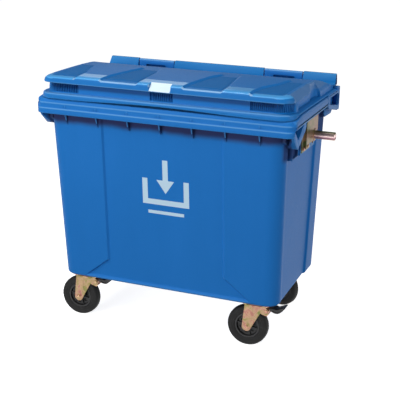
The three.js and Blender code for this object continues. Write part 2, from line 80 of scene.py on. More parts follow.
def inside(poly, x, y):
    """Signed distance to a polygon, positive inside."""
    best, odd = 1e9, False
    n = len(poly)
    for i in range(n):
        (ax, ay), (bx, by) = poly[i], poly[(i + 1) % n]
        dx, dy = bx - ax, by - ay
        t = clamp(((x - ax) * dx + (y - ay) * dy) / (dx * dx + dy * dy))
        best = min(best, math.hypot(x - ax - t * dx, y - ay - t * dy))
        if (ay > y) != (by > y) and x < (bx - ax) * (y - ay) / (by - ay) + ax:
            odd = not odd
    return best if odd else -best


# ================================================================ mesh helpers
def link(ob):
    bpy.context.scene.collection.objects.link(ob)
    return ob


def put(axis, u, v, t):
    if axis == "x":
        return (t, u, v)
    if axis == "y":
        return (u, t, v)
    return (u, v, t)


def prism(axis, outer, a, b, holes=(), bevel=1.2, seg=2, angle=25):
    """An outline drawn across an axis, from a to b along it, with its edges rounded."""
    bm = bmesh.new()
    edges = []
    for loop in [outer, *holes]:
        vs = [bm.verts.new(put(axis, u, v, a)) for u, v in loop]
        edges += [bm.edges.new((vs[i], vs[(i + 1) % len(vs)])) for i in range(len(vs))]
    if holes:
        bmesh.ops.triangle_fill(bm, use_beauty=True, use_dissolve=False, edges=edges)
    else:
        bm.faces.new([v for v in bm.verts])
    faces = list(bm.faces)
    ext = bmesh.ops.extrude_face_region(bm, geom=faces)
    moved = [g for g in ext["geom"] if isinstance(g, bmesh.types.BMVert)]
    d = Vector(put(axis, 0, 0, b - a))
    for v in moved:
        v.co += d
    bmesh.ops.recalc_face_normals(bm, faces=bm.faces)
    return rounded(bm, bevel, seg, angle)


def rounded(bm, bevel, seg=2, angle=25):
    if bevel:
        lim = math.radians(angle)
        sharp = [e for e in bm.edges if len(e.link_faces) == 2 and e.calc_face_angle(0) > lim]
        bmesh.ops.bevel(bm, geom=sharp, offset=bevel, offset_type="OFFSET", segments=seg, profile=0.5, affect="EDGES", clamp_overlap=True)
    return bm


def block(x0, x1, y0, y1, z0, z1, bevel=1.2, seg=2):
    return prism("z", [(x0, y0), (x1, y0), (x1, y1), (x0, y1)], z0, z1, bevel=bevel, seg=seg)


def lathe(axis, prof, u, v, n=64, closed=True):
    """Profile of (radius, place along the axis). Points on the axis close the shape."""
    bm = bmesh.new()
    rings = []
    for r, t in prof:
        if r < 1e-6:
            rings.append([bm.verts.new(put(axis, u, v, t))])
        else:
            rings.append([bm.verts.new(put(axis, u + r * math.cos(2 * math.pi * i / n), v + r * math.sin(2 * math.pi * i / n), t)) for i in range(n)])
    m = len(rings)
    for k in range(m if closed else m - 1):
        p, q = rings[k], rings[(k + 1) % m]
        if len(p) == 1 and len(q) == 1:
            continue
        for i in range(n):
            j = (i + 1) % n
            if len(p) == 1:
                bm.faces.new((p[0], q[i], q[j]))
            elif len(q) == 1:
                bm.faces.new((p[i], p[j], q[0]))
            else:
                bm.faces.new((p[i], p[j], q[j], q[i]))
    bmesh.ops.recalc_face_normals(bm, faces=bm.faces)
    return bm


def loft(rings, cap_first=False, cap_last=False, wrap=False):
    bm = bmesh.new()
    vs = [[bm.verts.new(p) for p in r] for r in rings]
    n, m = len(vs[0]), len(vs)
    for k in range(m if wrap else m - 1):
        p, q = vs[k], vs[(k + 1) % m]
        for i in range(n):
            j = (i + 1) % n
            bm.faces.new((p[i], p[j], q[j], q[i]))
    if cap_first:
        bm.faces.new(vs[0])
    if cap_last:
        bm.faces.new(vs[-1])
    bmesh.ops.recalc_face_normals(bm, faces=bm.faces)
    return bm


def temp(bm, name="tmp"):
    me = bpy.data.meshes.new(name)
    bm.to_mesh(me)
    bm.free()
    return link(bpy.data.objects.new(name, me))


def boolean(a, others, op="UNION"):
    """Joins or cuts closed meshes. a is an object, others are bmeshes."""
    for bm in others:
        b = temp(bm)
        mod = a.modifiers.new("b", "BOOLEAN")
        mod.operation, mod.solver, mod.object = op, "MANIFOLD", b
        bpy.context.view_layer.update()
        dg = bpy.context.evaluated_depsgraph_get()
        me = bpy.data.meshes.new_from_object(a.evaluated_get(dg))
        a.modifiers.clear()
        old = a.data
        if len(me.polygons) == 0:
            print("BOOLEAN EMPTY", op, len(old.polygons), len(b.data.polygons))
            bpy.data.meshes.remove(me)
        else:
            a.data = me
            bpy.data.meshes.remove(old)
        bm_ = b.data
        bpy.data.objects.remove(b)
        bpy.data.meshes.remove(bm_)
    return a


def mirrored(bm):
    """The same shape on the other side of the plane x = 0."""
    c = bm.copy()
    for v in c.verts:
        v.co.x = -v.co.x
    bmesh.ops.reverse_faces(c, faces=c.faces)
    return c


class Piece:
    """Closed shells gathered into one object."""

    def __init__(self, name):
        self.name, self.bm, self.mats = name, bmesh.new(), []

    def add(self, bm, mat):
        if mat not in self.mats:
            self.mats.append(mat)
        k = self.mats.index(mat)
        for f in bm.faces:
            f.material_index = k
        me = bpy.data.meshes.new("part")
        bm.to_mesh(me)
        bm.free()
        self.bm.from_mesh(me)
        bpy.data.meshes.remove(me)
        return self

    def done(self, body, nodes, angle=32, move=(0, 0, 0)):
        for v in self.bm.verts:
            v.co = (v.co + Vector(move)) * S
        me = bpy.data.meshes.new(self.name)
        self.bm.to_mesh(me)
        self.bm.free()
        for m in self.mats:
            me.materials.append(m)
        return finish_piece(me, self.name, body, nodes, angle)


def finish_piece(me, name, body, nodes, angle=32):
    for p in me.polygons:
        p.use_smooth = True
    me.set_sharp_from_angle(angle=math.radians(angle))
    me.update()
    ob = link(bpy.data.objects.new(name, me))
    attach(ob, body)
    if nodes:
        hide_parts(*nodes)
    return ob


def scaled(ob, mats, name):
    """A millimetre object becomes a piece's mesh in metres."""
    me = ob.data
    me.transform(Matrix.Scale(S, 4))
    me.materials.clear()
    for m in mats:
        me.materials.append(m)
    bpy.data.objects.remove(ob)
    me.name = name
    return me


# ================================================================ materials
def new_mat(name):
    m = bpy.data.materials.new(name)
    m.use_nodes = True
    nt = m.node_tree
    b = nt.nodes["Principled BSDF"]
    return m, nt, b


def node(nt, kind, **vals):
    n = nt.nodes.new(kind)
    for k, v in vals.items():
        if k in n.inputs:
            n.inputs[k].default_value = v
        else:
            setattr(n, k, v)
    return n


def ramp(nt, stops, interp="LINEAR"):
    n = nt.nodes.new("ShaderNodeValToRGB")
    n.color_ramp.interpolation = interp
    e = n.color_ramp.elements
    while len(e) < len(stops):
        e.new(0.5)
    for k, (p, c) in enumerate(stops):
        e[k].position = p
        e[k].color = (*c, 1) if len(c) == 3 else c
    return n


def noise(nt, coord, scale, detail=3.0, rough=0.5, stretch=None):
    n = nt.nodes.new("ShaderNodeTexNoise")
    n.inputs["Scale"].default_value = scale
    n.inputs["Detail"].default_value = detail
    n.inputs["Roughness"].default_value = rough
    if stretch:
        mp = nt.nodes.new("ShaderNodeMapping")
        mp.inputs["Scale"].default_value = stretch
        nt.links.new(coord, mp.inputs["Vector"])
        nt.links.new(mp.outputs["Vector"], n.inputs["Vector"])
    else:
        nt.links.new(coord, n.inputs["Vector"])
    return n


def window(nt, sock, lo, hi, soft):
    """1 between lo and hi, with soft ends."""
    out = None
    for a, b in ((lo - soft, lo), (hi + soft, hi)):
        n = nt.nodes.new("ShaderNodeMapRange")
        n.interpolation_type = "SMOOTHSTEP"
        n.inputs["From Min"].default_value, n.inputs["From Max"].default_value = a, b
        nt.links.new(sock, n.inputs["Value"])
        if out is None:
            out = n.outputs["Result"]
        else:
            m = node(nt, "ShaderNodeMath", operation="MULTIPLY")
            nt.links.new(out, m.inputs[0])
            nt.links.new(n.outputs["Result"], m.inputs[1])
            out = m.outputs[0]
    return out


def painted_light_bands(nt, co, last, items):
    """Painted highlights, painted sheen and painted shade laid in bands by position, along the front or on the ends: z
    range, y range, half length, amount, colour, softness.
    """
    sx = nt.nodes.new("ShaderNodeSeparateXYZ")
    nt.links.new(co, sx.inputs["Vector"])
    for z0, z1, y0, y1, half, amount, colour, soft in items:
        wx = window(nt, sx.outputs["X"], -abs(half), abs(half), 0.02 if half > 0 else 0.004)
        if half < 0:
            # the ends beyond that length instead
            inv = node(nt, "ShaderNodeMath", operation="SUBTRACT")
            inv.inputs[0].default_value = 1.0
            nt.links.new(wx, inv.inputs[1])
            wx = inv.outputs[0]
        mk = None
        for w in (window(nt, sx.outputs["Z"], z0, z1, soft), window(nt, sx.outputs["Y"], y0, y1, 0.0008 if half > 0 else 0.02), wx):
            if mk is None:
                mk = w
                continue
            m = node(nt, "ShaderNodeMath", operation="MULTIPLY")
            nt.links.new(mk, m.inputs[0])
            nt.links.new(w, m.inputs[1])
            mk = m.outputs[0]
        sc = node(nt, "ShaderNodeMath", operation="MULTIPLY")
        sc.inputs[1].default_value = amount
        nt.links.new(mk, sc.inputs[0])
        mx = nt.nodes.new("ShaderNodeMix")
        mx.data_type = "RGBA"
        nt.links.new(sc.outputs[0], mx.inputs["Factor"])
        nt.links.new(last, mx.inputs["A"])
        mx.inputs["B"].default_value = (*colour, 1)
        last = mx.outputs["Result"]
    return last


def polyethylene(name, base, rough=(0.36, 0.46), grain=0.06, grain_scale=900.0, spec=0.42, vary=0.05, edge_wear_and_highlight=0.55, painted_rim_shade=False, painted_light=()):
    m, nt, b = new_mat(name)
    L = nt.links.new
    co = nt.nodes.new("ShaderNodeTexCoord").outputs["Object"]
    big = noise(nt, co, 2.3, 4, 0.55)
    streak = noise(nt, co, 9.0, 4, 0.6, (1.0, 1.0, 0.18))
    fine = noise(nt, co, 140.0, 3, 0.6)
    mixv = nt.nodes.new("ShaderNodeMix")
    mixv.data_type = "FLOAT"
    mixv.inputs["Factor"].default_value = 0.5
    L(big.outputs["Fac"], mixv.inputs["A"])
    L(streak.outputs["Fac"], mixv.inputs["B"])
    add = nt.nodes.new("ShaderNodeMix")
    add.data_type = "FLOAT"
    add.inputs["Factor"].default_value = 0.22
    L(mixv.outputs["Result"], add.inputs["A"])
    L(fine.outputs["Fac"], add.inputs["B"])
    lo = tuple(c * (1 - vary) for c in base)
    hi = tuple(min(1, c * (1 + vary) + 0.002) for c in base)
    rp = ramp(nt, [(0.30, lo), (0.5, base), (0.70, hi)])
    L(add.outputs["Result"], rp.inputs["Fac"])
    # convex edges painted pale, partly wear and partly painted highlight; creases get painted shade
    geo = nt.nodes.new("ShaderNodeNewGeometry")
    up = nt.nodes.new("ShaderNodeMapRange")
    up.inputs["From Min"].default_value, up.inputs["From Max"].default_value = 0.512, 0.60
    up.inputs["To Min"].default_value, up.inputs["To Max"].default_value = 0.0, edge_wear_and_highlight
    L(geo.outputs["Pointiness"], up.inputs["Value"])
    dn = nt.nodes.new("ShaderNodeMapRange")
    dn.inputs["From Min"].default_value, dn.inputs["From Max"].default_value = 0.488, 0.42
    dn.inputs["To Min"].default_value, dn.inputs["To Max"].default_value = 0.0, 0.45
    L(geo.outputs["Pointiness"], dn.inputs["Value"])
    pale = nt.nodes.new("ShaderNodeMix")
    pale.data_type = "RGBA"
    L(up.outputs["Result"], pale.inputs["Factor"])
    L(rp.outputs["Color"], pale.inputs["A"])
    pale.inputs["B"].default_value = (0.10 + base[0] * 0.9, 0.26 + base[1] * 0.7, 0.36 + base[2] * 0.64, 1)
    crease_shade = nt.nodes.new("ShaderNodeMix")
    crease_shade.data_type = "RGBA"
    L(dn.outputs["Result"], crease_shade.inputs["Factor"])
    L(pale.outputs["Result"], crease_shade.inputs["A"])
    crease_shade.inputs["B"].default_value = (base[0] * 0.35 + 0.004, base[1] * 0.3, base[2] * 0.35, 1)
    last = painted_light_bands(nt, co, crease_shade.outputs["Result"], painted_light)
    if painted_rim_shade:
        # painted shade: a dark band under the front rim, set by position
        sx = nt.nodes.new("ShaderNodeSeparateXYZ")
        L(co, sx.inputs["Vector"])
        wob = noise(nt, co, 7.0, 3, 0.6, (1.0, 1.0, 0.3))
        zz = node(nt, "ShaderNodeMath", operation="MULTIPLY_ADD")
        zz.inputs[1].default_value, zz.inputs[2].default_value = 0.024, -0.012
        L(wob.outputs["Fac"], zz.inputs[0])
        zs = node(nt, "ShaderNodeMath", operation="ADD")
        L(sx.outputs["Z"], zs.inputs[0])
        L(zz.outputs[0], zs.inputs[1])
        g1 = nt.nodes.new("ShaderNodeMapRange")
        g1.interpolation_type = "SMOOTHSTEP"
        g1.inputs["From Min"].default_value, g1.inputs["From Max"].default_value = 0.998, 1.034
        L(zs.outputs[0], g1.inputs["Value"])
        g2 = node(nt, "ShaderNodeMath", operation="LESS_THAN")
        g2.inputs[1].default_value = 1.0555
        L(sx.outputs["Z"], g2.inputs[0])
        g3 = nt.nodes.new("ShaderNodeMapRange")
        g3.inputs["From Min"].default_value, g3.inputs["From Max"].default_value = -0.27, -0.30
        L(sx.outputs["Y"], g3.inputs["Value"])
        ax = node(nt, "ShaderNodeMath", operation="ABSOLUTE")
        L(sx.outputs["X"], ax.inputs[0])
        g4 = nt.nodes.new("ShaderNodeMapRange")
        g4.inputs["From Min"].default_value, g4.inputs["From Max"].default_value = 0.604, 0.594
        L(ax.outputs[0], g4.inputs["Value"])
        # the ribs stand clear of it
        g5 = nt.nodes.new("ShaderNodeMapRange")
        g5.inputs["From Min"].default_value, g5.inputs["From Max"].default_value = -0.3680, -0.3665
        L(sx.outputs["Y"], g5.inputs["Value"])
        mk = g1.outputs["Result"]
        for g in (g5.outputs["Result"], g2.outputs[0], g3.outputs["Result"], g4.outputs["Result"]):
            mu = node(nt, "ShaderNodeMath", operation="MULTIPLY")
            L(mk, mu.inputs[0])
            L(g, mu.inputs[1])
            mk = mu.outputs[0]
        sc = node(nt, "ShaderNodeMath", operation="MULTIPLY")
        sc.inputs[1].default_value = 0.92
        L(mk, sc.inputs[0])
        # the same painted shade under the side rims, on the wall, pad and pockets
        s1 = nt.nodes.new("ShaderNodeMapRange")
        s1.interpolation_type = "SMOOTHSTEP"
        s1.inputs["From Min"].default_value, s1.inputs["From Max"].default_value = 0.918, 0.948
        L(zs.outputs[0], s1.inputs["Value"])
        s2 = node(nt, "ShaderNodeMath", operation="LESS_THAN")
        s2.inputs[1].default_value = 1.126
        L(sx.outputs["Z"], s2.inputs[0])
        s3 = nt.nodes.new("ShaderNodeMapRange")
        s3.inputs["From Min"].default_value, s3.inputs["From Max"].default_value = 0.600, 0.590
        L(ax.outputs[0], s3.inputs["Value"])
        s4 = nt.nodes.new("ShaderNodeMapRange")
        s4.inputs["From Min"].default_value, s4.inputs["From Max"].default_value = 0.553, 0.566
        L(ax.outputs[0], s4.inputs["Value"])
        s5 = nt.nodes.new("ShaderNodeMapRange")
        s5.inputs["From Min"].default_value, s5.inputs["From Max"].default_value = -0.335, -0.315
        L(sx.outputs["Y"], s5.inputs["Value"])
        sk = s1.outputs["Result"]
        for g in (s2.outputs[0], s3.outputs["Result"], s4.outputs["Result"], s5.outputs["Result"]):
            mu = node(nt, "ShaderNodeMath", operation="MULTIPLY")
            L(sk, mu.inputs[0])
            L(g, mu.inputs[1])
            sk = mu.outputs[0]
        sm = node(nt, "ShaderNodeMath", operation="MAXIMUM")
        L(sc.outputs[0], sm.inputs[0])
        sq = node(nt, "ShaderNodeMath", operation="MULTIPLY")
        sq.inputs[1].default_value = 0.74
        L(sk, sq.inputs[0])
        L(sq.outputs[0], sm.inputs[1])
        sc = sm
        # mix towards the painted shade colour
        gm = nt.nodes.new("ShaderNodeMix")
        gm.data_type = "RGBA"
        L(sc.outputs[0], gm.inputs["Factor"])
        L(last, gm.inputs["A"])
        gm.inputs["B"].default_value = (0.032, 0.032, 0.096, 1)
        last = gm.outputs["Result"]
        matt = sc.outputs[0]
    L(last, b.inputs["Base Color"])
    rr = nt.nodes.new("ShaderNodeMapRange")
    rr.inputs["From Min"].default_value, rr.inputs["From Max"].default_value = 0.3, 0.7
    rr.inputs["To Min"].default_value, rr.inputs["To Max"].default_value = rough
    L(fine.outputs["Fac"], rr.inputs["Value"])
    if painted_rim_shade:
        mt = node(nt, "ShaderNodeMath", operation="MAXIMUM")
        L(rr.outputs["Result"], mt.inputs[0])
        L(matt, mt.inputs[1])
        L(mt.outputs[0], b.inputs["Roughness"])
    else:
        L(rr.outputs["Result"], b.inputs["Roughness"])
    b.inputs["Specular IOR Level"].default_value = spec
    b.inputs["IOR"].default_value = 1.5
    peel = noise(nt, co, grain_scale, 2, 0.5)
    wave = noise(nt, co, 14.0, 2, 0.4)
    b1 = node(nt, "ShaderNodeBump", Strength=grain, Distance=0.0006)
    L(peel.outputs["Fac"], b1.inputs["Height"])
    b2 = node(nt, "ShaderNodeBump", Strength=0.10, Distance=0.004)
    L(wave.outputs["Fac"], b2.inputs["Height"])
    L(b1.outputs["Normal"], b2.inputs["Normal"])
    L(b2.outputs["Normal"], b.inputs["Normal"])
    return m


def zinc(name, rough=(0.26, 0.42), scale=14.0, bias=0.0, dim=1.0, green_front=False):
    """Yellow passivated zinc plate: gold with peach, pink and green clouds."""
    m, nt, b = new_mat(name)
    L = nt.links.new
    co = nt.nodes.new("ShaderNodeTexCoord").outputs["Object"]
    a = noise(nt, co, scale, 3, 0.5)
    a.inputs["Distortion"].default_value = 0.8
    film = [(0.22, (0.16, 0.22, 0.08)), (0.34, (0.32, 0.28, 0.09)), (0.44, (0.46, 0.33, 0.17)), (0.54, (0.56, 0.35, 0.22)),
            (0.64, (0.48, 0.20, 0.16)), (0.74, (0.42, 0.27, 0.26)), (0.88, (0.26, 0.32, 0.11))]
    rp = ramp(nt, [(f, tuple(v * dim for v in c)) for f, c in film])
    shift = node(nt, "ShaderNodeMath", operation="ADD")
    shift.inputs[1].default_value = bias
    L(a.outputs["Fac"], shift.inputs[0])
    if green_front:
        # thicker, greener film towards the front edge of the plate
        gs = nt.nodes.new("ShaderNodeSeparateXYZ")
        L(co, gs.inputs["Vector"])
        gr = nt.nodes.new("ShaderNodeMapRange")
        gr.inputs["From Min"].default_value, gr.inputs["From Max"].default_value = -0.05, 0.05
        gr.inputs["To Min"].default_value, gr.inputs["To Max"].default_value = bias - 0.24, bias
        L(gs.outputs["Y"], gr.inputs["Value"])
        L(gr.outputs["Result"], shift.inputs[1])
    L(shift.outputs[0], rp.inputs["Fac"])
    speck = noise(nt, co, 420.0, 3, 0.6)
    mx = nt.nodes.new("ShaderNodeMix")
    mx.data_type, mx.blend_type = "RGBA", "MULTIPLY"
    mx.inputs["Factor"].default_value = 0.5
    sp = ramp(nt, [(0.35, (0.60, 0.56, 0.52)), (0.6, (1, 1, 1))])
    L(speck.outputs["Fac"], sp.inputs["Fac"])
    L(rp.outputs["Color"], mx.inputs["A"])
    L(sp.outputs["Color"], mx.inputs["B"])
    L(mx.outputs["Result"], b.inputs["Base Color"])
    b.inputs["Metallic"].default_value = 0.78
    rr = nt.nodes.new("ShaderNodeMapRange")
    rr.inputs["From Min"].default_value, rr.inputs["From Max"].default_value = 0.3, 0.7
    rr.inputs["To Min"].default_value, rr.inputs["To Max"].default_value = rough
    L(speck.outputs["Fac"], rr.inputs["Value"])
    L(rr.outputs["Result"], b.inputs["Roughness"])
    bp = node(nt, "ShaderNodeBump", Strength=0.12, Distance=0.0004)
    L(speck.outputs["Fac"], bp.inputs["Height"])
    L(bp.outputs["Normal"], b.inputs["Normal"])
    return m


def zinc_bar_painted_bands(name):
    """Passivated bar: the film's colours laid in bands by height, which paint its highlight and shade: green above, a
    pale pink painted highlight in the middle, plum painted shade below.
    """
    m, nt, b = new_mat(name)
    L = nt.links.new
    co = nt.nodes.new("ShaderNodeTexCoord").outputs["Object"]
    sp = nt.nodes.new("ShaderNodeSeparateXYZ")
    L(co, sp.inputs["Vector"])
    wob = noise(nt, co, 60.0, 3, 0.6, (0.25, 1.0, 1.0))
    mr = nt.nodes.new("ShaderNodeMapRange")
    mr.inputs["From Min"].default_value, mr.inputs["From Max"].default_value = 0.948, 0.988
    L(sp.outputs["Z"], mr.inputs["Value"])
    ad = node(nt, "ShaderNodeMath", operation="MULTIPLY_ADD")
    ad.inputs[1].default_value, ad.inputs[2].default_value = 0.22, -0.11
    L(wob.outputs["Fac"], ad.inputs[0])
    su = node(nt, "ShaderNodeMath", operation="ADD")
    L(mr.outputs["Result"], su.inputs[0])
    L(ad.outputs[0], su.inputs[1])
    rp = ramp(nt, [(0.0, (0.44, 0.27, 0.21)), (0.14, (0.56, 0.34, 0.28)), (0.24, (0.17, 0.08, 0.12)), (0.34, (0.32, 0.16, 0.19)), (0.42, (0.66, 0.43, 0.43)), (0.52, (0.86, 0.66, 0.64)), (0.66, (0.62, 0.44, 0.42)), (0.76, (0.66, 0.50, 0.46)), (0.85, (0.48, 0.40, 0.32)), (0.91, (0.26, 0.22, 0.14)), (0.96, (0.16, 0.19, 0.09)), (1.0, (0.36, 0.42, 0.18))])
    L(su.outputs[0], rp.inputs["Fac"])
    L(rp.outputs["Color"], b.inputs["Base Color"])
    b.inputs["Metallic"].default_value = 0.8
    sc = noise(nt, co, 300.0, 3, 0.6, (0.05, 1.0, 1.0))
    rr = nt.nodes.new("ShaderNodeMapRange")
    rr.inputs["From Min"].default_value, rr.inputs["From Max"].default_value = 0.3, 0.7
    rr.inputs["To Min"].default_value, rr.inputs["To Max"].default_value = 0.24, 0.38
    L(sc.outputs["Fac"], rr.inputs["Value"])
    L(rr.outputs["Result"], b.inputs["Roughness"])
    bp = node(nt, "ShaderNodeBump", Strength=0.15, Distance=0.0003)
    L(sc.outputs["Fac"], bp.inputs["Height"])
    L(bp.outputs["Normal"], b.inputs["Normal"])
    return m


def dark(name, base, rough, grain=0.25, scale=500.0, spec=0.4, dust=0.02):
    m, nt, b = new_mat(name)
    L = nt.links.new
    co = nt.nodes.new("ShaderNodeTexCoord").outputs["Object"]
    a = noise(nt, co, 30.0, 4, 0.6)
    g = noise(nt, co, scale, 3, 0.6)
    rp = ramp(nt, [(0.3, tuple(c * 0.8 for c in base)), (0.55, base), (0.8, tuple(c + dust for c in base))])
    L(a.outputs["Fac"], rp.inputs["Fac"])
    L(rp.outputs["Color"], b.inputs["Base Color"])
    rr = nt.nodes.new("ShaderNodeMapRange")
    rr.inputs["From Min"].default_value, rr.inputs["From Max"].default_value = 0.3, 0.7
    rr.inputs["To Min"].default_value, rr.inputs["To Max"].default_value = rough
    L(g.outputs["Fac"], rr.inputs["Value"])
    L(rr.outputs["Result"], b.inputs["Roughness"])
    b.inputs["Specular IOR Level"].default_value = spec
    bp = node(nt, "ShaderNodeBump", Strength=grain, Distance=0.0004)
    L(g.outputs["Fac"], bp.inputs["Height"])
    L(bp.outputs["Normal"], b.inputs["Normal"])
    return m


# painted highlights along the rim's ledge and top edge, the grip block's top bar and the ribs' front edges; painted
# sheen on the rim's ends
TUB_PAINTED_LIGHT = [(1.0790, 1.0836, -0.392, -0.3745, 0.60, 0.62, (0.12, 0.33, 0.62), 0.0008),
             (1.1040, 1.1092, -0.392, -0.3700, 0.60, 0.50, (0.12, 0.33, 0.62), 0.0010),
             (1.2105, 1.2300, 0.3600, 0.3900, 0.46, 0.55, (0.20, 0.45, 0.76), 0.0010),
             (1.0100, 1.0555, -0.392, -0.3682, 0.60, 0.45, (0.10, 0.29, 0.56), 0.0010),
             (-1.0, 3.0, -0.34, 2.0, -0.6215, 0.36, (0.16, 0.28, 0.52), 0.0010)]
# painted sheen on the lid's ends; painted highlights along the deck's front edge, the lip's lower edge and the tier's
# ledge; painted shade along the neck
LID_PAINTED_LIGHT = [(1.1980, 3.0, -0.31, 2.0, -0.572, 0.40, (0.14, 0.27, 0.48), 0.0120),
             (1.2215, 1.2420, -0.3768, -0.3655, 0.560, 0.74, (0.36, 0.61, 0.88), 0.0010),
             (1.1985, 1.2045, -0.3795, -0.3700, 0.570, 0.40, (0.14, 0.36, 0.66), 0.0010),
             (1.1830, 1.1975, -0.3580, -0.3400, 0.570, 0.66, (0.006, 0.038, 0.160), 0.0140),
             (1.1482, 1.1540, -0.3795, -0.3540, 0.590, 0.55, (0.16, 0.40, 0.72), 0.0010)]
BLUE = (0.016, 0.170, 0.530)
M_TUB = polyethylene("hdpe_blue_tub", BLUE, rough=(0.36, 0.46), spec=0.05, painted_rim_shade=True, painted_light=TUB_PAINTED_LIGHT)
M_LID = polyethylene("hdpe_blue_lid", (0.010, 0.172, 0.525), rough=(0.34, 0.44), spec=0.11, edge_wear_and_highlight=0.40, painted_light=LID_PAINTED_LIGHT)
M_BEAM = polyethylene("hdpe_blue_beam", (0.004, 0.166, 0.500), rough=(0.34, 0.44), spec=0.05)
M_FIELD = polyethylene("hdpe_blue_textured", (0.012, 0.150, 0.440), rough=(0.52, 0.64), grain=0.55, grain_scale=420.0, spec=0.10, vary=0.08)
# polished pads whose pale base colour is a painted highlight; the notch's near-white base is a painted glint
M_PAD = polyethylene("hdpe_blue_polished_painted_highlight", (0.060, 0.360, 0.800), rough=(0.14, 0.20), grain=0.02, spec=0.62, vary=0.03)
M_GLINT = polyethylene("hdpe_painted_glint", (0.74, 0.90, 0.97), rough=(0.14, 0.20), grain=0.02, spec=0.8, vary=0.03)
M_PRINT = polyethylene("white_print", (0.50, 0.68, 0.82), rough=(0.45, 0.6), grain=0.1, vary=0.04, edge_wear_and_highlight=0.0)
M_ZINC = zinc("yellow_zinc_plate", scale=30.0, bias=-0.02, dim=0.80)
M_ZINC2 = zinc("yellow_zinc_pressing", scale=15.0, bias=0.01, dim=0.74)
M_BOLT = zinc("yellow_zinc_bolt", rough=(0.22, 0.34), scale=40.0)
M_ZINC_RED = zinc("zinc_and_red_lacquer", rough=(0.30, 0.45), scale=22.0, bias=0.08)
M_BRACKET = zinc("yellow_zinc_bracket", rough=(0.30, 0.44), scale=20.0, bias=0.03, dim=0.46, green_front=True)
M_PIN = zinc_bar_painted_bands("yellow_zinc_bar")
M_BLACK = dark("moulded_black_plastic", (0.014, 0.014, 0.015), (0.34, 0.46))
M_HUB = dark("hub_black_nylon", (0.009, 0.009, 0.0095), (0.38, 0.52))
M_TYRE = dark("tyre_rubber", (0.009, 0.009, 0.0092), (0.55, 0.70), grain=0.35, scale=700.0, spec=0.24, dust=0.012)
M_INSIDE = M_TUB

# ================================================================ the camera, lights and floor
AZ, EL, ROLL = math.radians(21.42), math.radians(17.32), math.radians(1.06)
cam = bpy.data.cameras.new("camera")
cam.sensor_width, cam.sensor_height, cam.sensor_fit, cam.lens = 36, 36, "HORIZONTAL", 86.62
cam.clip_end = 60
camera = link(bpy.data.objects.new("camera", cam))
back = Vector((math.sin(AZ) * math.cos(EL), -math.cos(AZ) * math.cos(EL), math.sin(EL)))
right = Vector((0, 0, 1)).cross(back).normalized()
up = back.cross(right)
right2 = math.cos(ROLL) * right + math.sin(ROLL) * up
up2 = -math.sin(ROLL) * right + math.cos(ROLL) * up
camera.matrix_world = Matrix.Translation((1.70275, -4.19938, 2.01439)) @ Matrix((right2, up2, back)).transposed().to_4x4()
bpy.context.scene.camera = camera


def area(name, at, aim, sx, sy, watts, colour=(1, 1, 1)):
    li = bpy.data.lights.new(name, "AREA")
    li.shape, li.size, li.size_y, li.energy, li.color = "RECTANGLE", sx, sy, watts, colour
    ob = link(bpy.data.objects.new(name, li))
    ob.location = at
    ob.rotation_euler = (Vector(aim) - Vector(at)).to_track_quat("-Z", "Y").to_euler()
    return ob


area("key_high_front", (-1.5, -2.9, 4.4), (0, -0.3, 0.7), 3.0, 1.5, 106)
area("fill_front", (-1.4, -5.4, 1.9), (0, 0, 0.7), 3.4, 1.6, 140)
area("top", (0.0, -0.1, 4.4), (0, 0.0, 1.2), 3.4, 1.4, 16)
area("right", (4.4, -0.5, 2.0), (0.4, 0, 0.7), 2.0, 2.6, 60)
area("back_left", (-2.2, 4.2, 2.75), (-0.3, -0.3, 1.24), 1.5, 1.0, 3.4)

world = bpy.data.worlds.new("studio")
bpy.context.scene.world = world
world.use_nodes = True
wn = world.node_tree
wc = wn.nodes.new("ShaderNodeTexCoord")
sep = wn.nodes.new("ShaderNodeSeparateXYZ")
wn.links.new(wc.outputs["Generated"], sep.inputs["Vector"])
mr = wn.nodes.new("ShaderNodeMapRange")
mr.inputs["From Min"].default_value, mr.inputs["From Max"].default_value = -1.0, 1.0
wn.links.new(sep.outputs["Z"], mr.inputs["Value"])
wr = ramp(wn, [(0.0, (0.34, 0.35, 0.37)), (0.44, (0.40, 0.40, 0.42)), (0.50, (0.9, 0.9, 0.9)), (0.55, (0.78, 0.78, 0.78)), (0.64, (0.32, 0.32, 0.33)), (1.0, (0.5, 0.5, 0.5))])
wn.links.new(mr.outputs["Result"], wr.inputs["Fac"])
bg = wn.nodes["Background"]
wn.links.new(wr.outputs["Color"], bg.inputs["Color"])
bg.inputs["Strength"].default_value = 0.42
bpy.context.scene.view_settings.view_transform = "Standard"

fbm = bmesh.new()
bmesh.ops.create_grid(fbm, x_segments=8, y_segments=8, size=60)
fme = bpy.data.meshes.new("floor")
fbm.to_mesh(fme)
fbm.free()
floor = link(bpy.data.objects.new("floor", fme))
fm, fnt, fb = new_mat("pale_floor")
fco = fnt.nodes.new("ShaderNodeTexCoord").outputs["Object"]
fno = noise(fnt, fco, 1.5, 2, 0.5)
frp = ramp(fnt, [(0.3, (0.90, 0.90, 0.90)), (0.7, (0.93, 0.93, 0.93))])
fnt.links.new(fno.outputs["Fac"], frp.inputs["Fac"])
fnt.links.new(frp.outputs["Color"], fb.inputs["Base Color"])
fb.inputs["Roughness"].default_value = 0.9
fb.inputs["Specular IOR Level"].default_value = 0.1
fb.inputs["Emission Color"].default_value = (1, 1, 1, 1)
fb.inputs["Emission Strength"].default_value = 0.84
fme.materials.append(fm)
floor.visible_diffuse = False          # the white floor shows, and is mirrored, but doesn't wash out the underside

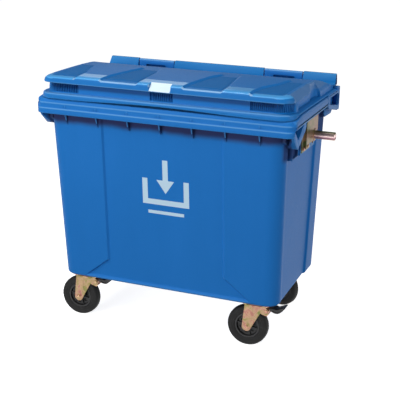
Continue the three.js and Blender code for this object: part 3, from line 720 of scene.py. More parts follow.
# ================================================================ tub
FLOOR_Z, WALL_TOP_Z, WALL = 230.0, 1122.0, 6.0
HX, YF, YR = (552.0, 576.0), (-290.0, -366.0), (340.0, 348.0)
R_FRONT, R_REAR = 66.0, 36.0
PANEL_X, PANEL_DEPTH, PANEL_STEP = 302.0, 9.0, 12.0
PANEL_FOOT_X, KNEE_Z, FOOT_Z = 425.0, 345.0, 246.0
SIDE_RECESS, POST_Y = 9.0, 190.0
RIM_X, RIM_YF, RIM_YR, RIM_R, RIM_RAISE = 630.0, -385.0, 383.0, 44.0, 17.0


def raise_(y):
    return RIM_RAISE * ss(-372, -245, y)


def both(half):
    left = [(-x, y, z) for x, y, z in half[1:-1]][::-1]
    return half + left


def wall_ring(z, inset=0.0, z_out=None, rise=0.0):
    t = (z - FLOOR_Z) / (WALL_TOP_Z - FLOOR_Z)
    hx, yf, yr = lerp(*HX, t) - inset, lerp(*YF, t) + inset, lerp(*YR, t) - inset
    rf, rr = R_FRONT - inset, R_REAR - inset
    knee = clamp((z - FOOT_Z) / (KNEE_Z - FOOT_Z))
    k = knee if knee < 0.9 else 1 - (1 - knee) * 0 - 0.1 * (1 - ss(0, 1, (knee - 0.9) / 0.1)) * (1 - knee) / 0.1
    s = lerp(PANEL_FOOT_X, PANEL_X, clamp(k))
    d = PANEL_DEPTH * ss(FOOT_Z - 7, FOOT_Z + 7, z)
    pts = []
    for x in spread(0, s - PANEL_STEP - 3, 14, last=False):
        pts.append((x, yf + d))
    for q in spread(0, 1, 14):
        pts.append((s - PANEL_STEP - 3 + (PANEL_STEP + 6) * q, yf + d * (1 - ss(0.12, 0.88, q))))
    for x in spread(s + 3, hx - rf, 10, first=False, last=False):
        pts.append((x, yf))
    pts += arc(hx - rf, yf + rf, rf, -90, 0, 22)
    depth_f = lerp(3.0, SIDE_RECESS, ss(300, 800, z))
    y0 = yf + rf
    for q in spread(0, 1, 9, first=False):
        pts.append((hx - depth_f * ss(0, 1, q), y0 + 4 + 22 * q))
    for q in spread(0, 1, 14, first=False):
        pts.append((hx - lerp(depth_f, SIDE_RECESS, q), lerp(y0 + 26, POST_Y - 2, q)))
    for q in spread(0, 1, 7, first=False):
        pts.append((hx - SIDE_RECESS * (1 - ss(0, 1, q)), POST_Y - 2 + 12 * q))
    for y in spread(POST_Y + 10, yr - rr, 6, first=False, last=False):
        pts.append((hx, y))
    pts += arc(hx - rr, yr - rr, rr, 0, 90, 12)
    for x in spread(hx - rr, 0, 14, first=False):
        pts.append((x, yr))
    zz = z if z_out is None else z_out
    return both([(x, y, zz + rise * raise_(y)) for x, y in pts])


def tub_walls():
    zs = [WALL_TOP_Z] + spread(1060, KNEE_Z + 15, 22) + spread(KNEE_Z + 10, KNEE_Z - 10, 5) + spread(KNEE_Z - 20, FOOT_Z + 12, 5) + spread(FOOT_Z + 8, FOOT_Z - 4, 5)
    rings = [wall_ring(z, 0, z, 1 if i == 0 else 0) for i, z in enumerate(zs)]
    for a in (90, 75, 60, 45, 30, 15, 0):                       # rounded foot, 12 mm
        i = 12 * (1 - math.sin(math.radians(a)))
        rings.append(wall_ring(FLOOR_Z + 12 * (1 - math.cos(math.radians(a))), i))
    rings.append(wall_ring(FLOOR_Z, 20))
    inner = [wall_ring(FLOOR_Z + 12, 26, FLOOR_Z + 8), wall_ring(FLOOR_Z + 12, 18, FLOOR_Z + 8.4), wall_ring(FLOOR_Z + 12, 11, FLOOR_Z + 11), wall_ring(FLOOR_Z + 18, 7.5, FLOOR_Z + 17)]
    for z in zs[::-1][4:]:
        inner.append(wall_ring(z, WALL))
    inner[-1] = wall_ring(WALL_TOP_Z, WALL, WALL_TOP_Z, 1)
    return loft(rings[::-1] + [] , cap_first=True), rings, inner


def closed_walls():
    _, rings, inner = tub_walls()
    _.free()
    order = rings + inner                                       # top outside, down, under the floor, up inside
    bm = bmesh.new()
    vs = [[bm.verts.new(p) for p in r] for r in order]
    n, m, cut = len(vs[0]), len(vs), len(rings)
    for k in range(m):
        if k == cut - 1:
            continue                                            # outer floor and inner floor are capped instead
        p, q = vs[k], vs[(k + 1) % m]
        for i in range(n):
            j = (i + 1) % n
            bm.faces.new((p[i], p[j], q[j], q[i]))
    bm.faces.new(vs[cut - 1])
    bm.faces.new(vs[cut])
    bmesh.ops.recalc_face_normals(bm, faces=bm.faces)
    return bm


def rim_half():
    pts = []
    for x in spread(0, RIM_X - RIM_R, 24, last=False):
        pts.append(("f", x, 0))
    for a in spread(-90, 0, 18):
        pts.append(("c", a, 0))
    for y in spread(RIM_YF + RIM_R, -318, 3, first=False, last=False) + spread(-318, -300, 6, last=False) + spread(-300, -240, 10, last=False) + spread(-240, 166, 22, last=False) + spread(166, 196, 6, last=False) + spread(196, RIM_YR - RIM_R, 8, last=False):
        pts.append(("s", y, 0))
    for a in spread(0, 90, 14):
        pts.append(("r", a, 0))
    for x in spread(RIM_X - RIM_R, 0, 16, first=False):
        pts.append(("b", x, 0))
    return pts


RIM_HALF = rim_half()


def rim_bottom(y, rear):
    if rear:
        return 1056.0
    return table([(-367, 1056), (-359, 1088), (-340, 1091), (-245, 1093.5), (164, 1098.5), (182, 1131), (352, 1131), (366, 1056)], y)


def rim_ring(inset, z, rise, k, side=True):
    """k: which part of the section; side: whether the step fades out along the sides."""
    plain = table([(0, 0.9), (9.6, 1.0), (11.4, 1.3), (15.0, 3.0), (16.4, 5.2), (18.5, 8.5), (26, 22), (40, 40)], inset)
    out = []
    for kind, v, _ in RIM_HALF:
        # along the sides the face is plain, without the step of the front
        t = 0.0
        if side and (kind == "s" or (kind == "c" and v > -30) or (kind == "r" and v < 40)):
            yy = v if kind == "s" else (RIM_YF + RIM_R + (RIM_R - inset) * math.sin(math.radians(v)) if kind == "c" else RIM_YR - RIM_R)
            t = ss(-362, -348, yy)
            if kind == "r":
                t = 1.0 - ss(0, 40, v)
        ins = lerp(inset, plain, t)
        hx, yf, yr, r = RIM_X - ins, RIM_YF + ins, RIM_YR - ins, max(6.0, RIM_R - ins)
        if kind == "f":
            x, y = v * (hx - r) / (RIM_X - RIM_R), yf
        elif kind == "c":
            x, y = hx - r + r * math.cos(math.radians(v)), yf + r + r * math.sin(math.radians(v))
        elif kind == "s":
            x, y = hx, v
        elif kind == "r":
            x, y = hx - r + r * math.cos(math.radians(v)), yr - r + r * math.sin(math.radians(v))
        else:
            x, y = v * (hx - r) / (RIM_X - RIM_R), yr
        on_side = kind == "s" or (kind == "r" and v < 40)
        zb = rim_bottom(y, not on_side) if on_side else (1056.0 if kind != "c" else rim_bottom(y, False))
        out.append((x, y, zb))
    res = []
    for x, y, zb in out:
        w = ss(1066, 1084, zb)
        top = z + rise * raise_(y)
        if k == "low":
            zz = zb + (z - 1056)
            # the outward band is not made: its shift is set to zero
            sh = 0
            zz = zz
            xx, yy = x, y
            if sh:
                n = Vector((x - math.copysign(RIM_X - 60, x) if abs(x) > RIM_X - 60 else 0, (y - (RIM_YF + 60)) if y < RIM_YF + 60 else 0))
                if n.length > 0:
                    n.normalize()
                    xx, yy = x - n.x * sh, y - n.y * sh
            res.append((xx, yy, zz))
        elif k == "step":
            zz = max(z, zb + 6 + (z - 1078) * 0.3)
            sh = 0
            xx, yy = x, y
            if sh:
                n = Vector((x - math.copysign(RIM_X - 60, x) if abs(x) > RIM_X - 60 else 0, (y - (RIM_YF + 60)) if y < RIM_YF + 60 else 0))
                if n.length > 0:
                    n.normalize()
                    xx, yy = x - n.x * sh, y - n.y * sh
            res.append((xx, yy, zz))
        else:
            res.append((x, y, max(top, zb + 8 + (z - 1085) * 0.2)))
    return both(res)


def rim():
    R = rim_ring

    def I(*a):
        return rim_ring(*a, side=False)

    rings = [
        R(40, 1124.0, 1, "top"), R(26, 1124.0, 1, "top"), R(18.5, 1123.8, 1, "top"), R(16.4, 1122.8, 1, "top"), R(15.0, 1120.8, 1, "top"),
        R(11.4, 1113.4, 1, "top"), R(9.6, 1111.6, 1, "top"), R(7.4, 1109.4, 1, "top"), R(6.0, 1107.2, 1, "top"), R(5.2, 1104.6, 1, "top"), R(5.0, 1102.0, 1, "top"),
        R(5.0, 1093.0, 0.5, "top"), R(5.0, 1087.6, 0, "step"), R(4.6, 1086.0, 0, "step"), R(3.2, 1084.4, 0, "step"), R(1.4, 1082.6, 0, "step"), R(0.4, 1081.0, 0, "step"), R(0.0, 1079.0, 0, "step"),
        R(0.0, 1068.0, 0, "low"), R(0.0, 1059.0, 0, "low"), R(0.5, 1057.2, 0, "low"), R(1.6, 1056.2, 0, "low"), I(2.9, 1056.0, 0, "low"),
        I(4.2, 1056.3, 0, "low"), I(5.2, 1057.4, 0, "low"), I(5.5, 1059.0, 0, "low"), I(5.5, 1068.0, 0, "low"),
        I(5.8, 1077.0, 0, "step"), I(9.2, 1086.0, 0, "step"), I(9.5, 1102.0, 1, "top"), I(14.0, 1110.0, 1, "top"), I(19.6, 1118.2, 1, "top"), I(34.0, 1118.5, 1, "top"), I(40.0, 1118.5, 1, "top")]
    return loft(rings, wrap=True)


def side_parts():
    """What stands on the right side of the tub; the left side is its mirror image."""
    out = []
    # triangular strut under the rim
    vee = prism("x", [(-357, 1108), (-356, 1050), (-350, 1041), (-298, 995), (-289, 991), (-279, 992), (-248, 1008), (-206, 1033), (-176, 1049), (-163, 1066), (-160, 1110)], 500, 640,
                holes=[[(-351, 1090), (-349, 1092), (-202, 1094), (-200, 1089), (-258, 1050), (-284, 1034), (-290, 1036)]], bevel=0)
    plan = prism("z", [(617.6, -380), (617.6, -150), (570, -150), (570, -292), (596, -318), (607, -340), (607, -380)], 960, 1130, bevel=0)
    o = temp(vee)
    boolean(o, [plan], "INTERSECT")
    bm = bmesh.new()
    bm.from_mesh(o.data)
    me = o.data
    bpy.data.objects.remove(o)
    bpy.data.meshes.remove(me)
    out.append(rounded(bm, 1.5, 2))
    # the web behind the strut's opening, and the socket under it
    out.append(prism("x", [(-336, 1028), (-296, 1001), (-230, 1012), (-182, 1040), (-178, 1106), (-336, 1106)], 562, 576, bevel=0))
    o = temp(block(560, 588, -262, -172, 928, 1022, bevel=4.0, seg=3))
    boolean(o, [block(574, 600, -254, -181, 936, 984, bevel=2.0)], "DIFFERENCE")
    bm = bmesh.new()
    bm.from_mesh(o.data)
    me = o.data
    bpy.data.objects.remove(o)
    bpy.data.meshes.remove(me)
    out.append(bm)
    # rear corner handle
    out.append(prism("x", [(164, 1120), (167, 1100), (177, 1083), (184, 1078.5), (374, 1044), (380, 1044.6), (384.7, 1050), (384.7, 1155), (380, 1160), (352, 1160), (352, 1141), (164, 1141)],
                     606, 630, holes=[[(198, 1104), (203, 1098), (366, 1068.5), (373, 1072), (375, 1078), (375, 1112), (371, 1119), (352, 1130), (346, 1131), (200, 1131), (196, 1127)]], bevel=2.2, seg=3))
    out.append(block(556, 628, 348, 382, 1045, 1057, bevel=2))
    out.append(prism("x", [(214, 1110), (222, 1044), (236, 1030), (352, 1026), (366, 1034), (378, 1048), (380, 1124), (340, 1128)], 566, 598, bevel=2.0))
    out.append(block(588, 628, 353, 384, 1128, 1160, bevel=2.5))
    # pad behind the trunnion bracket
    out.append(block(550, 568, -66, 180, 905, 1108, bevel=2.0))
    # grip block that carries the lid
    g = temp(prism("x", [(362, 1128), (362, 1204), (364, 1212), (370, 1217), (377, 1217), (382.5, 1213), (384.8, 1205), (384.5, 1128)], 246, 442, bevel=2.0, seg=3))
    slot = prism("y", [(292 + 5, 1160), (403 - 5, 1160), (403, 1165), (403, 1186), (403 - 5, 1191), (292 + 5, 1191), (292, 1186), (292, 1165)], 340, 378, bevel=0)
    boolean(g, [slot, prism("y", [(254, 1150), (284, 1150), (284, 1188), (254, 1188)], 370, 400, bevel=0), prism("y", [(411, 1150), (436, 1150), (436, 1188), (411, 1188)], 370, 400, bevel=0)], "DIFFERENCE")
    bm = bmesh.new()
    bm.from_mesh(g.data)
    me = g.data
    bpy.data.objects.remove(g)
    bpy.data.meshes.remove(me)
    out.append(bm)
    return out


def make_tub():
    tub = temp(closed_walls(), "tub_mm")
    boolean(tub, [rim()])
    more = []
    for i in range(-3, 4):
        x = i * 157 - 2
        more.append(prism("x", [(-381.5, 1060), (-359, 1009), (-356, 1007), (-348, 1010), (-348, 1112), (-366, 1116), (-381.5, 1100)], x - 2.5, x + 2.5, bevel=0.8))
    parts = side_parts()
    for bm in parts:
        more.append(mirrored(bm))
        more.append(bm)
    boolean(tub, more)
    # castor bosses inside the floor, holes for bolts, pins and the drain
    bosses, holes = [], []
    for sx in (-1, 1):
        for y in (-220, 284):
            bosses.append(block(sx * 445 - 74, sx * 445 + 74, y - 46, min(y + 60, 333), 234, 252, bevel=3))
            for bx in (-52, 52):
                for by in (-38, 38):
                    holes.append(prism("z", arc(sx * 445 + bx, y + by, 5.3, 0, 345, 23), 220, 248.3, bevel=0))
    for s in (-1, 1):
        a, b = sorted((s * 241, s * 447))
        holes.append(prism("x", arc(374, 1205, 6.3, 0, 345, 23), a, b, bevel=0))
        a, b = sorted((s * 559, s * 600))
        for y in (-32, 42):
            holes.append(prism("x", arc(y, 930, 5.3, 0, 345, 23), a, b, bevel=0))
    holes.append(prism("z", arc(0, -150, 22, 0, 352.5, 47), 225, 245, bevel=0))
    boolean(tub, bosses)
    boolean(tub, holes, "DIFFERENCE")
    me = scaled(tub, [M_TUB], "tub_body")
    return finish_piece(me, "tub_body", "container", ["tub"], 34)


make_tub()


# ================================================================ lid
def deck_curve(y):
    return table([(-378, 1238.6), (-345, 1239), (-260, 1240.6), (-180, 1241), (-100, 1240.8), (-20, 1240), (20, 1238.6), (60, 1236), (95, 1231.8), (130, 1226), (165, 1218.4), (200, 1210), (230, 1201.4), (260, 1192),
                  (280, 1186), (300, 1180.6), (315, 1177.4), (328, 1175.4), (349, 1174)], y)


def band_mid(y):
    return table([(-345, 111), (-295, 114), (-100, 135), (-15, 160)], y)


def band_in(y):
    return table([(-345, 293), (-280, 290), (0, 246)], y)


def band_out(y):
    return table([(-345, 420), (-240, 430), (-120, 472), (0, 492)], y)


def band(x, y):
    a = abs(x)
    m = band_mid(y)
    b = max(ss(m + 6, m - 7, a), ss(band_in(y) - 6, band_in(y) + 7, a) * ss(band_out(y) + 6, band_out(y) - 7, a))
    end = 16 if a < 200 else 6
    return b * ss(end + 16, end - 20, y)


def field(x, y):
    a = abs(x)
    f = max(ss(band_mid(y) + 11, band_mid(y) + 18, a) * ss(band_in(y) - 11, band_in(y) - 18, a), ss(band_out(y) + 11, band_out(y) + 18, a) * ss(550, 543, a))
    return f * ss(-30, -44, y) * ss(-334, -326, y)


def deck_z(x, y):
    edge = ss(560, 585, abs(x)) * 1.0
    return deck_curve(y) - 7.5 * (1 - band(x, y)) * (1 - 0.5 * ss(20, 120, y)) + 1.6 * field(x, y) + edge


LID_YR = 349.0
FRONT_X = sorted(set([round(v, 3) for v in spread(0, 44, 6) + spread(44, 62, 12) + spread(62, 99, 5) + spread(99, 123, 14) + spread(123, 280, 16) + spread(280, 306, 15) + spread(306, 407, 11) + spread(407, 433, 15) + spread(433, 523, 14)]))
CORNER_N = 46
SIDE_Y = spread(-277, LID_YR - 12, 190, first=False)
RECESS = [(-262, 1154), (-262, 1189), (-42, 1196), (-8, 1227), (68, 1227), (92, 1190), (104, 1154)]


def side_x(z):
    """Half width of the lid's end at height z."""
    if z <= 1172:
        return 604.9 - (z - 1156) * 0.05
    return table([(1172, 604.1), (1176, 603.4), (1180, 602.2), (1184, 600.6), (1238, 575.0), (1245, 571.7)], z)


LEVELS = [  # front y, front z, corner half width, corner radius, what the side does, side value
    (-375.4, 1127.0, 615.4, 68, "b", 0.0), (-377.3, 1127.7, 617.3, 70, "b", 0.7), (-378.0, 1129.6, 618.0, 71, "b", 2.0),
    (-378.0, 1138.0, 617.0, 72, "m", 0.5), (-378.0, 1146.0, 616.0, 73, "m", 1.0), (-377.0, 1149.6, 615.0, 73, "t", (620.6, 1149.2)),
    (-374.0, 1152.0, 612.2, 73, "t", (618.4, 1150.9)), (-366.0, 1152.6, 606.5, 73, "t", (613, 1151.6)), (-357.0, 1152.3, 603.5, 62, "t", (607.5, 1152.3)),
    (-353.4, 1153.3, 599.4, 72, "t", (605.6, 1153.3)), (-352.0, 1156.0, 598.0, 75, "t", (604.9, 1156.0))]
for _i in range(1, 12):
    LEVELS.append((-352.0, 1156.0 + 3.45 * _i, 598.0, 75, "s", 0))
LEVELS += [(-352.7, 1196.3, 598.6, 74, "s", 0), (-354.8, 1198.1, 600.0, 72, "s", 0), (-361.0, 1199.2, 601.6, 69, "s", 0), (-370.0, 1200.0, 603.4, 65, "s", 0),
           (-376.4, 1201.2, 604.6, 62.6, "s", 0), (-378.0, 1203.6, 605.0, 64, "s", 0), (-378.0, 1210.0, 604.0, 65, "s", 0), (-378.0, 1217.0, 601.0, 66, "s", 0),
           (-378.0, 1224.0, 597.0, 67, "s", 0), (-377.6, 1229.2, 593.6, 67, "s", 0), (-375.6, 1232.8, 590.0, 66, "s", 0), (-371.0, 1235.3, 586.4, 62.5, "s", 0),
           (-362.0, 1236.9, 581.0, 54.0, "s", 0), (-345.0, 1239.0, 575.0, 38.0, "s", 0)]
N_TIER = 11
N_SIDE = len(LEVELS) - N_TIER


def side_point(k, y):
    """The lid's end, level k, at y."""
    bottom = 1127 + raise_(y)
    kind, val = LEVELS[k][4], LEVELS[k][5]
    if kind == "b":
        return LEVELS[k][2], bottom + val
    if kind == "m":
        return 622.0 - 0.6 * val, lerp(bottom + 2.0, 1147.0, val)
    if kind == "t":
        return val
    top = deck_z(575, y) if y < 344 else deck_z(575, 344)
    q = (k - N_TIER + 1) / N_SIDE
    # the last three levels round the edge between the end and the deck
    if k == len(LEVELS) - 1:
        return side_x(top) - 4.0, top
    if k == len(LEVELS) - 2:
        return side_x(top) - 1.2, top - 0.55
    if k == len(LEVELS) - 3:
        return side_x(top - 2.4) , top - 2.4
    q = (k - N_TIER + 1) / (N_SIDE - 3)
    z = lerp(1156, top - 5.0, q)
    return side_x(z), z


def lid_ring(k):
    yf, zf, hx, r = LEVELS[k][:4]
    last = len(LEVELS) - 1
    pts = []

    def notch(x):
        return ss(55, 49, abs(x))

    def front_point(x, y, z):
        m = notch(x)
        if k >= last - 8 and m > 0:      # the slanted plane in the middle of the lip
            t = [0.0, 0.16, 0.32, 0.48, 0.62, 0.74, 0.84, 0.92, 1.0][k - (last - 8)]
            y, z = lerp(y, lerp(-378, -345, t), m), lerp(z, lerp(1204.4, 1239, t), m)
        return x, y, z

    for x in FRONT_X[:-1]:
        pts.append(front_point(x, yf, zf))
    # corner zone: straight, arc, straight, at even steps
    l1, l2, l3 = (hx - r) - 523, r * math.pi / 2, -277 - (yf + r)
    l1, l3 = max(0.0, l1), max(0.0, l3)
    total = l1 + l2 + l3
    for i in range(CORNER_N + 1):
        d = total * i / CORNER_N
        if d < l1:
            x, y = 523 + d, yf
        elif d < l1 + l2:
            a = (d - l1) / r - math.pi / 2
            x, y = hx - r + r * math.cos(a), yf + r + r * math.sin(a)
        else:
            x, y = hx, yf + r + (d - l1 - l2)
        w = ss(-312, -281, y)
        sx, sz = side_point(k, y)
        if k < 5:
            pts.append((lerp(x, sx, w), y, zf + (raise_(y) if k < 3 else raise_(y) * (0.5 if k == 3 else 0.05))))
        else:
            pts.append((lerp(x, sx, w), y, lerp(zf, sz, w)))
    for y in SIDE_Y:
        sx, sz = side_point(k, y)
        pts.append((sx, y, sz))
    # rear corner and rear edge
    hx_r, z_r = side_point(k, LID_YR - 12)
    for i in range(1, 7):
        a = math.radians(90 * i / 6)
        rr = 12.0
        x, y = hx_r - rr + rr * math.cos(a), LID_YR - 12 + rr * math.sin(a)
        pts.append((x, y, rear_z(k)))
    for x in spread(hx_r - 12, 0, 30, first=False):
        pts.append((x, LID_YR - (0 if k < last else 2.0), rear_z(k)))
    # details that are pushed into the surface
    out = []
    for n, (x, y, z) in enumerate(pts):
        if k in (0, 1, 2, 3, 4) and y < -370 and x < 470:
            z += [9, 9, 8.6, 5.0, 0.0][k] * (1 - (x / 470) ** 2) ** 2
        if k >= last - 5 and y < -345.5 and abs(x) < 523:       # lip top follows the bands
            f = [0.35, 0.75, 1, 1, 1, 1][k - (last - 5)]
            z -= 7.5 * (1 - band(x, -345)) * f * (1 - notch(x))
        elif k >= last - 5 and y < -284 and abs(x) >= 523:
            f = [0.35, 0.75, 1, 1, 1, 1][k - (last - 5)]
            z -= 7.5 * f * (1 - ss(-309, -283, y)) - 1.0 * ss(560, 585, x) * f * (1 - ss(-309, -283, y))
        elif k == last and abs(x) < 523 and y < -340:
            z = deck_z(x, -345)
        if k == last and y < -340 and abs(x) < 523:
            z = deck_z(x, -345) if notch(x) == 0 else lerp(deck_z(x, -345), 1239, notch(x))
        if 5 <= k and y > -284 and y < 120 and z > 1150:
            m = ss(-1.6, 2.2, inside(RECESS, y, z))
            if m > 0:
                x = lerp(x, min(x, lerp(592.5, 581.0, ss(-34, -6, y) * ss(98, 74, y))), m)
        out.append((x, y, z))
    return both(out)


def rear_z(k):
    kind, val = LEVELS[k][4], LEVELS[k][5]
    if kind == "b":
        return 1144 + val
    if kind == "m":
        return lerp(1146, 1147.4, val)
    if kind == "t":
        return lerp(1148, 1152, (k - 5) / 6)
    return lerp(1153, deck_z(575, 344), (k - N_TIER + 1) / N_SIDE)


def pocket(s):
    """Depth of the finger pockets along the neck, by distance s from the middle, always positive."""
    return max(ss(56.5, 53.5, s), ss(415.5, 418.5, s) * ss(628, 624, s))


def neck_s(x, y):
    """Distance along the neck from the middle of the front, for a point on it."""
    x = abs(x)
    if x <= 523:
        return x
    a = math.atan2(x - 523, -(y + 277))
    return 523 + 75 * a


def push_pockets(ring, k):
    out = []
    for x, y, z in ring:
        if y < -276:
            s = neck_s(x, y)
            p = pocket(s)
            if p > 0:
                # pushed square to the neck
                if abs(x) <= 523:
                    nx, ny = 0.0, -1.0
                else:
                    a = math.atan2(abs(x) - 523, -(y + 277))
                    nx, ny = math.sin(a) * (1 if x > 0 else -1), -math.cos(a)
                d = 12.0 * p * POCKET_K.get(k, 0.0)
                x, y = x - nx * d, y - ny * d
        out.append((x, y, z))
    return out


POCKET_K = {}
for _k, _l in enumerate(LEVELS):
    if _k == N_TIER - 1:
        POCKET_K[_k] = 0.0
    elif N_TIER <= _k < N_TIER + 11:
        POCKET_K[_k] = 1.0
POCKET_K[N_TIER + 11] = 1.0
POCKET_K[N_TIER + 12] = 0.55


def lid_shell():
    rings = [push_pockets(lid_ring(k), k) for k in range(len(LEVELS))]
    top = rings[-1]
    n = len(top)
    # deck points: the boundary, then a grid inside it
    xs = set(round(v, 2) for v in spread(-560, 560, 70))
    for a, c in ((100, 172), (234, 304), (408, 506)):
        for q in spread(a, c, int((c - a) / 3.2)):
            xs.add(round(q, 2))
            xs.add(round(-q, 2))
    ys = set(round(v, 2) for v in spread(-336, 340, 56))
    for q in spread(-26, 40, 22):
        ys.add(round(q, 2))
    for q in spread(-46, -28, 8):
        ys.add(round(q, 2))
    for q in spread(-336, -324, 4):
        ys.add(round(q, 2))

    def thin(vals, gap):
        vals, out = sorted(vals), []
        for v in vals:
            if not out or v - out[-1] >= gap:
                out.append(v)
        return out

    xs, ys = thin(xs, 2.2), thin(ys, 1.5)
    edge2d = [(p[0], p[1]) for p in top]
    coords = [Vector(p) for p in edge2d]
    # a cheap inside test with margin: the boundary is a rounded rectangle
    for y in ys:
        half = None
        for i in range(n):
            (ax, ay), (bx, by) = edge2d[i], edge2d[(i + 1) % n]
            if (ay > y) != (by > y):
                xx = ax + (bx - ax) * (y - ay) / (by - ay)
                half = max(half or 0, abs(xx))
        if half is None:
            continue
        for x in xs:
            if abs(x) < half - 4.5 and y > -345 + 4.5 and y < LID_YR - 6 and not (y < -310 and abs(x) > 539 and math.hypot(abs(x) - 539, y + 309) > 31.5):
                coords.append(Vector((x, y)))
    vs2, _, faces, orig, _, _ = delaunay_2d_cdt(coords, [], [list(range(n))], 1, 1e-5)
    if len(vs2) != len(coords):
        print("CDT changed the points", len(vs2), len(coords))
    index = {}
    for i, o in enumerate(orig):
        index[i] = o[0] if o else -1
    bm = bmesh.new()
    allv = [[bm.verts.new(p) for p in r] for r in rings]
    inner_pts = []
    for i, c in enumerate(coords):
        if i < n:
            inner_pts.append(allv[-1][i])
        else:
            inner_pts.append(bm.verts.new((c.x, c.y, deck_z(c.x, c.y))))
    m = len(allv)
    for k in range(m - 1):
        p, q = allv[k], allv[k + 1]
        for i in range(n):
            j = (i + 1) % n
            bm.faces.new((p[i], p[j], q[j], q[i]))
    for f in faces:
        a = [inner_pts[index[i]] for i in f]
        try:
            bm.faces.new(a)
        except ValueError:
            pass
    bmesh.ops.recalc_face_normals(bm, faces=bm.faces)
    # the deck's normals must point up
    bm.normal_update()
    up_faces = sum(f.normal.z * f.calc_area() for f in bm.faces if f.calc_center_median().z > 1170 and abs(f.normal.z) > 0.7)
    if up_faces < 0:
        bmesh.ops.reverse_faces(bm, faces=bm.faces)
    bm.normal_update()
    # inner skin
    outer = list(bm.verts)
    outer_faces = list(bm.faces)
    twin = {}
    for v in outer:
        twin[v] = bm.verts.new(v.co - v.normal * 4.3)
    border = set()
    for e in bm.edges:
        if len(e.link_faces) == 1:
            border.update(e.verts)
    for v in border:
        twin[v].co = v.co + Vector((0, 0, 0))
        d = Vector((v.co.x, v.co.y, 0))
        nx = -4.3 if v.co.x > 560 else (4.3 if v.co.x < -560 else 0)
        ny = 4.3 if v.co.y < -330 else (-4.3 if v.co.y > 330 else 0)
        if nx and ny:
            nx, ny = nx * 0.75, ny * 0.75
        twin[v].co.x += nx
        twin[v].co.y += ny
    edges = [e for e in bm.edges if len(e.link_faces) == 1]
    for f in outer_faces:
        bm.faces.new([twin[v] for v in reversed(f.verts)])
    for e in edges:
        a, b = e.verts
        try:
            bm.faces.new((a, b, twin[b], twin[a]))
        except ValueError:
            pass
    bmesh.ops.recalc_face_normals(bm, faces=bm.faces)
    inner = [twin[v] for v in outer if v not in border]
    for _ in range(4):
        bmesh.ops.smooth_vert(bm, verts=inner, factor=0.5, use_axis_x=True, use_axis_y=True, use_axis_z=True)
    for f in bm.faces:
        f.material_index = 0
    # the pads at the front of the bands and the notch in the middle of the lip take the materials with painted
    # highlights
    for f in outer_faces:
        c = f.calc_center_median()
        if c.z > 1200 and c.y > -345 and c.y < -36 and f.normal.z > 0.9 and abs(c.x) < 556 and band(c.x, c.y) < 0.02:
            f.material_index = 1
        elif abs(c.x) < 50.5 and c.y < -343 and c.z > 1204.5 and f.normal.z > 0.3:
            f.material_index = 3
        elif f.normal.z > 0.3 and c.y < -288 and c.z > 1215 and abs(c.x) < 420 and (band(c.x, -345) > 0.9):
            f.material_index = 2
        elif f.normal.z > 0.25 and c.y < -315 and c.z > 1222 and abs(c.x) > 432:
            f.material_index = 2
    return bm


def comb_ribs():
    out = []
    s = 423.0
    pos = []
    while s < 622:
        pos.append(s)
        s += 9.0
    mid = [x for x in spread(-45, 45, 10)]
    for sgn in (-1, 1):
        for s in pos:
            if s <= 523:
                px, py, nx, ny = s, -352.0, 0.0, -1.0
            else:
                a = (s - 523) / 75
                px, py, nx, ny = 523 + 75 * math.sin(a), -277 - 75 * math.cos(a), math.sin(a), -math.cos(a)
            out.append((px * sgn, py, nx * sgn, ny))
    for x in mid:
        out.append((x, -352.0, 0.0, -1.0))
    bms = []
    for px, py, nx, ny in out:
        tx, ty = -ny, nx
        bm = prism("z", [(-1.4, -14.0), (1.4, -14.0), (1.4, -1.2), (0.8, -0.4), (-0.8, -0.4), (-1.4, -1.2)], 1155, 1199, bevel=0.5, seg=1)
        for v in bm.verts:
            a, b = v.co.x, v.co.y
            # ribs lean back towards their foot
            b2 = b - 5.0 * ss(1186, 1158, v.co.z) if b > -8 else b
            v.co.x, v.co.y = px + tx * a + nx * b2, py + ty * a + ny * b2
        bms.append(bm)
    return bms


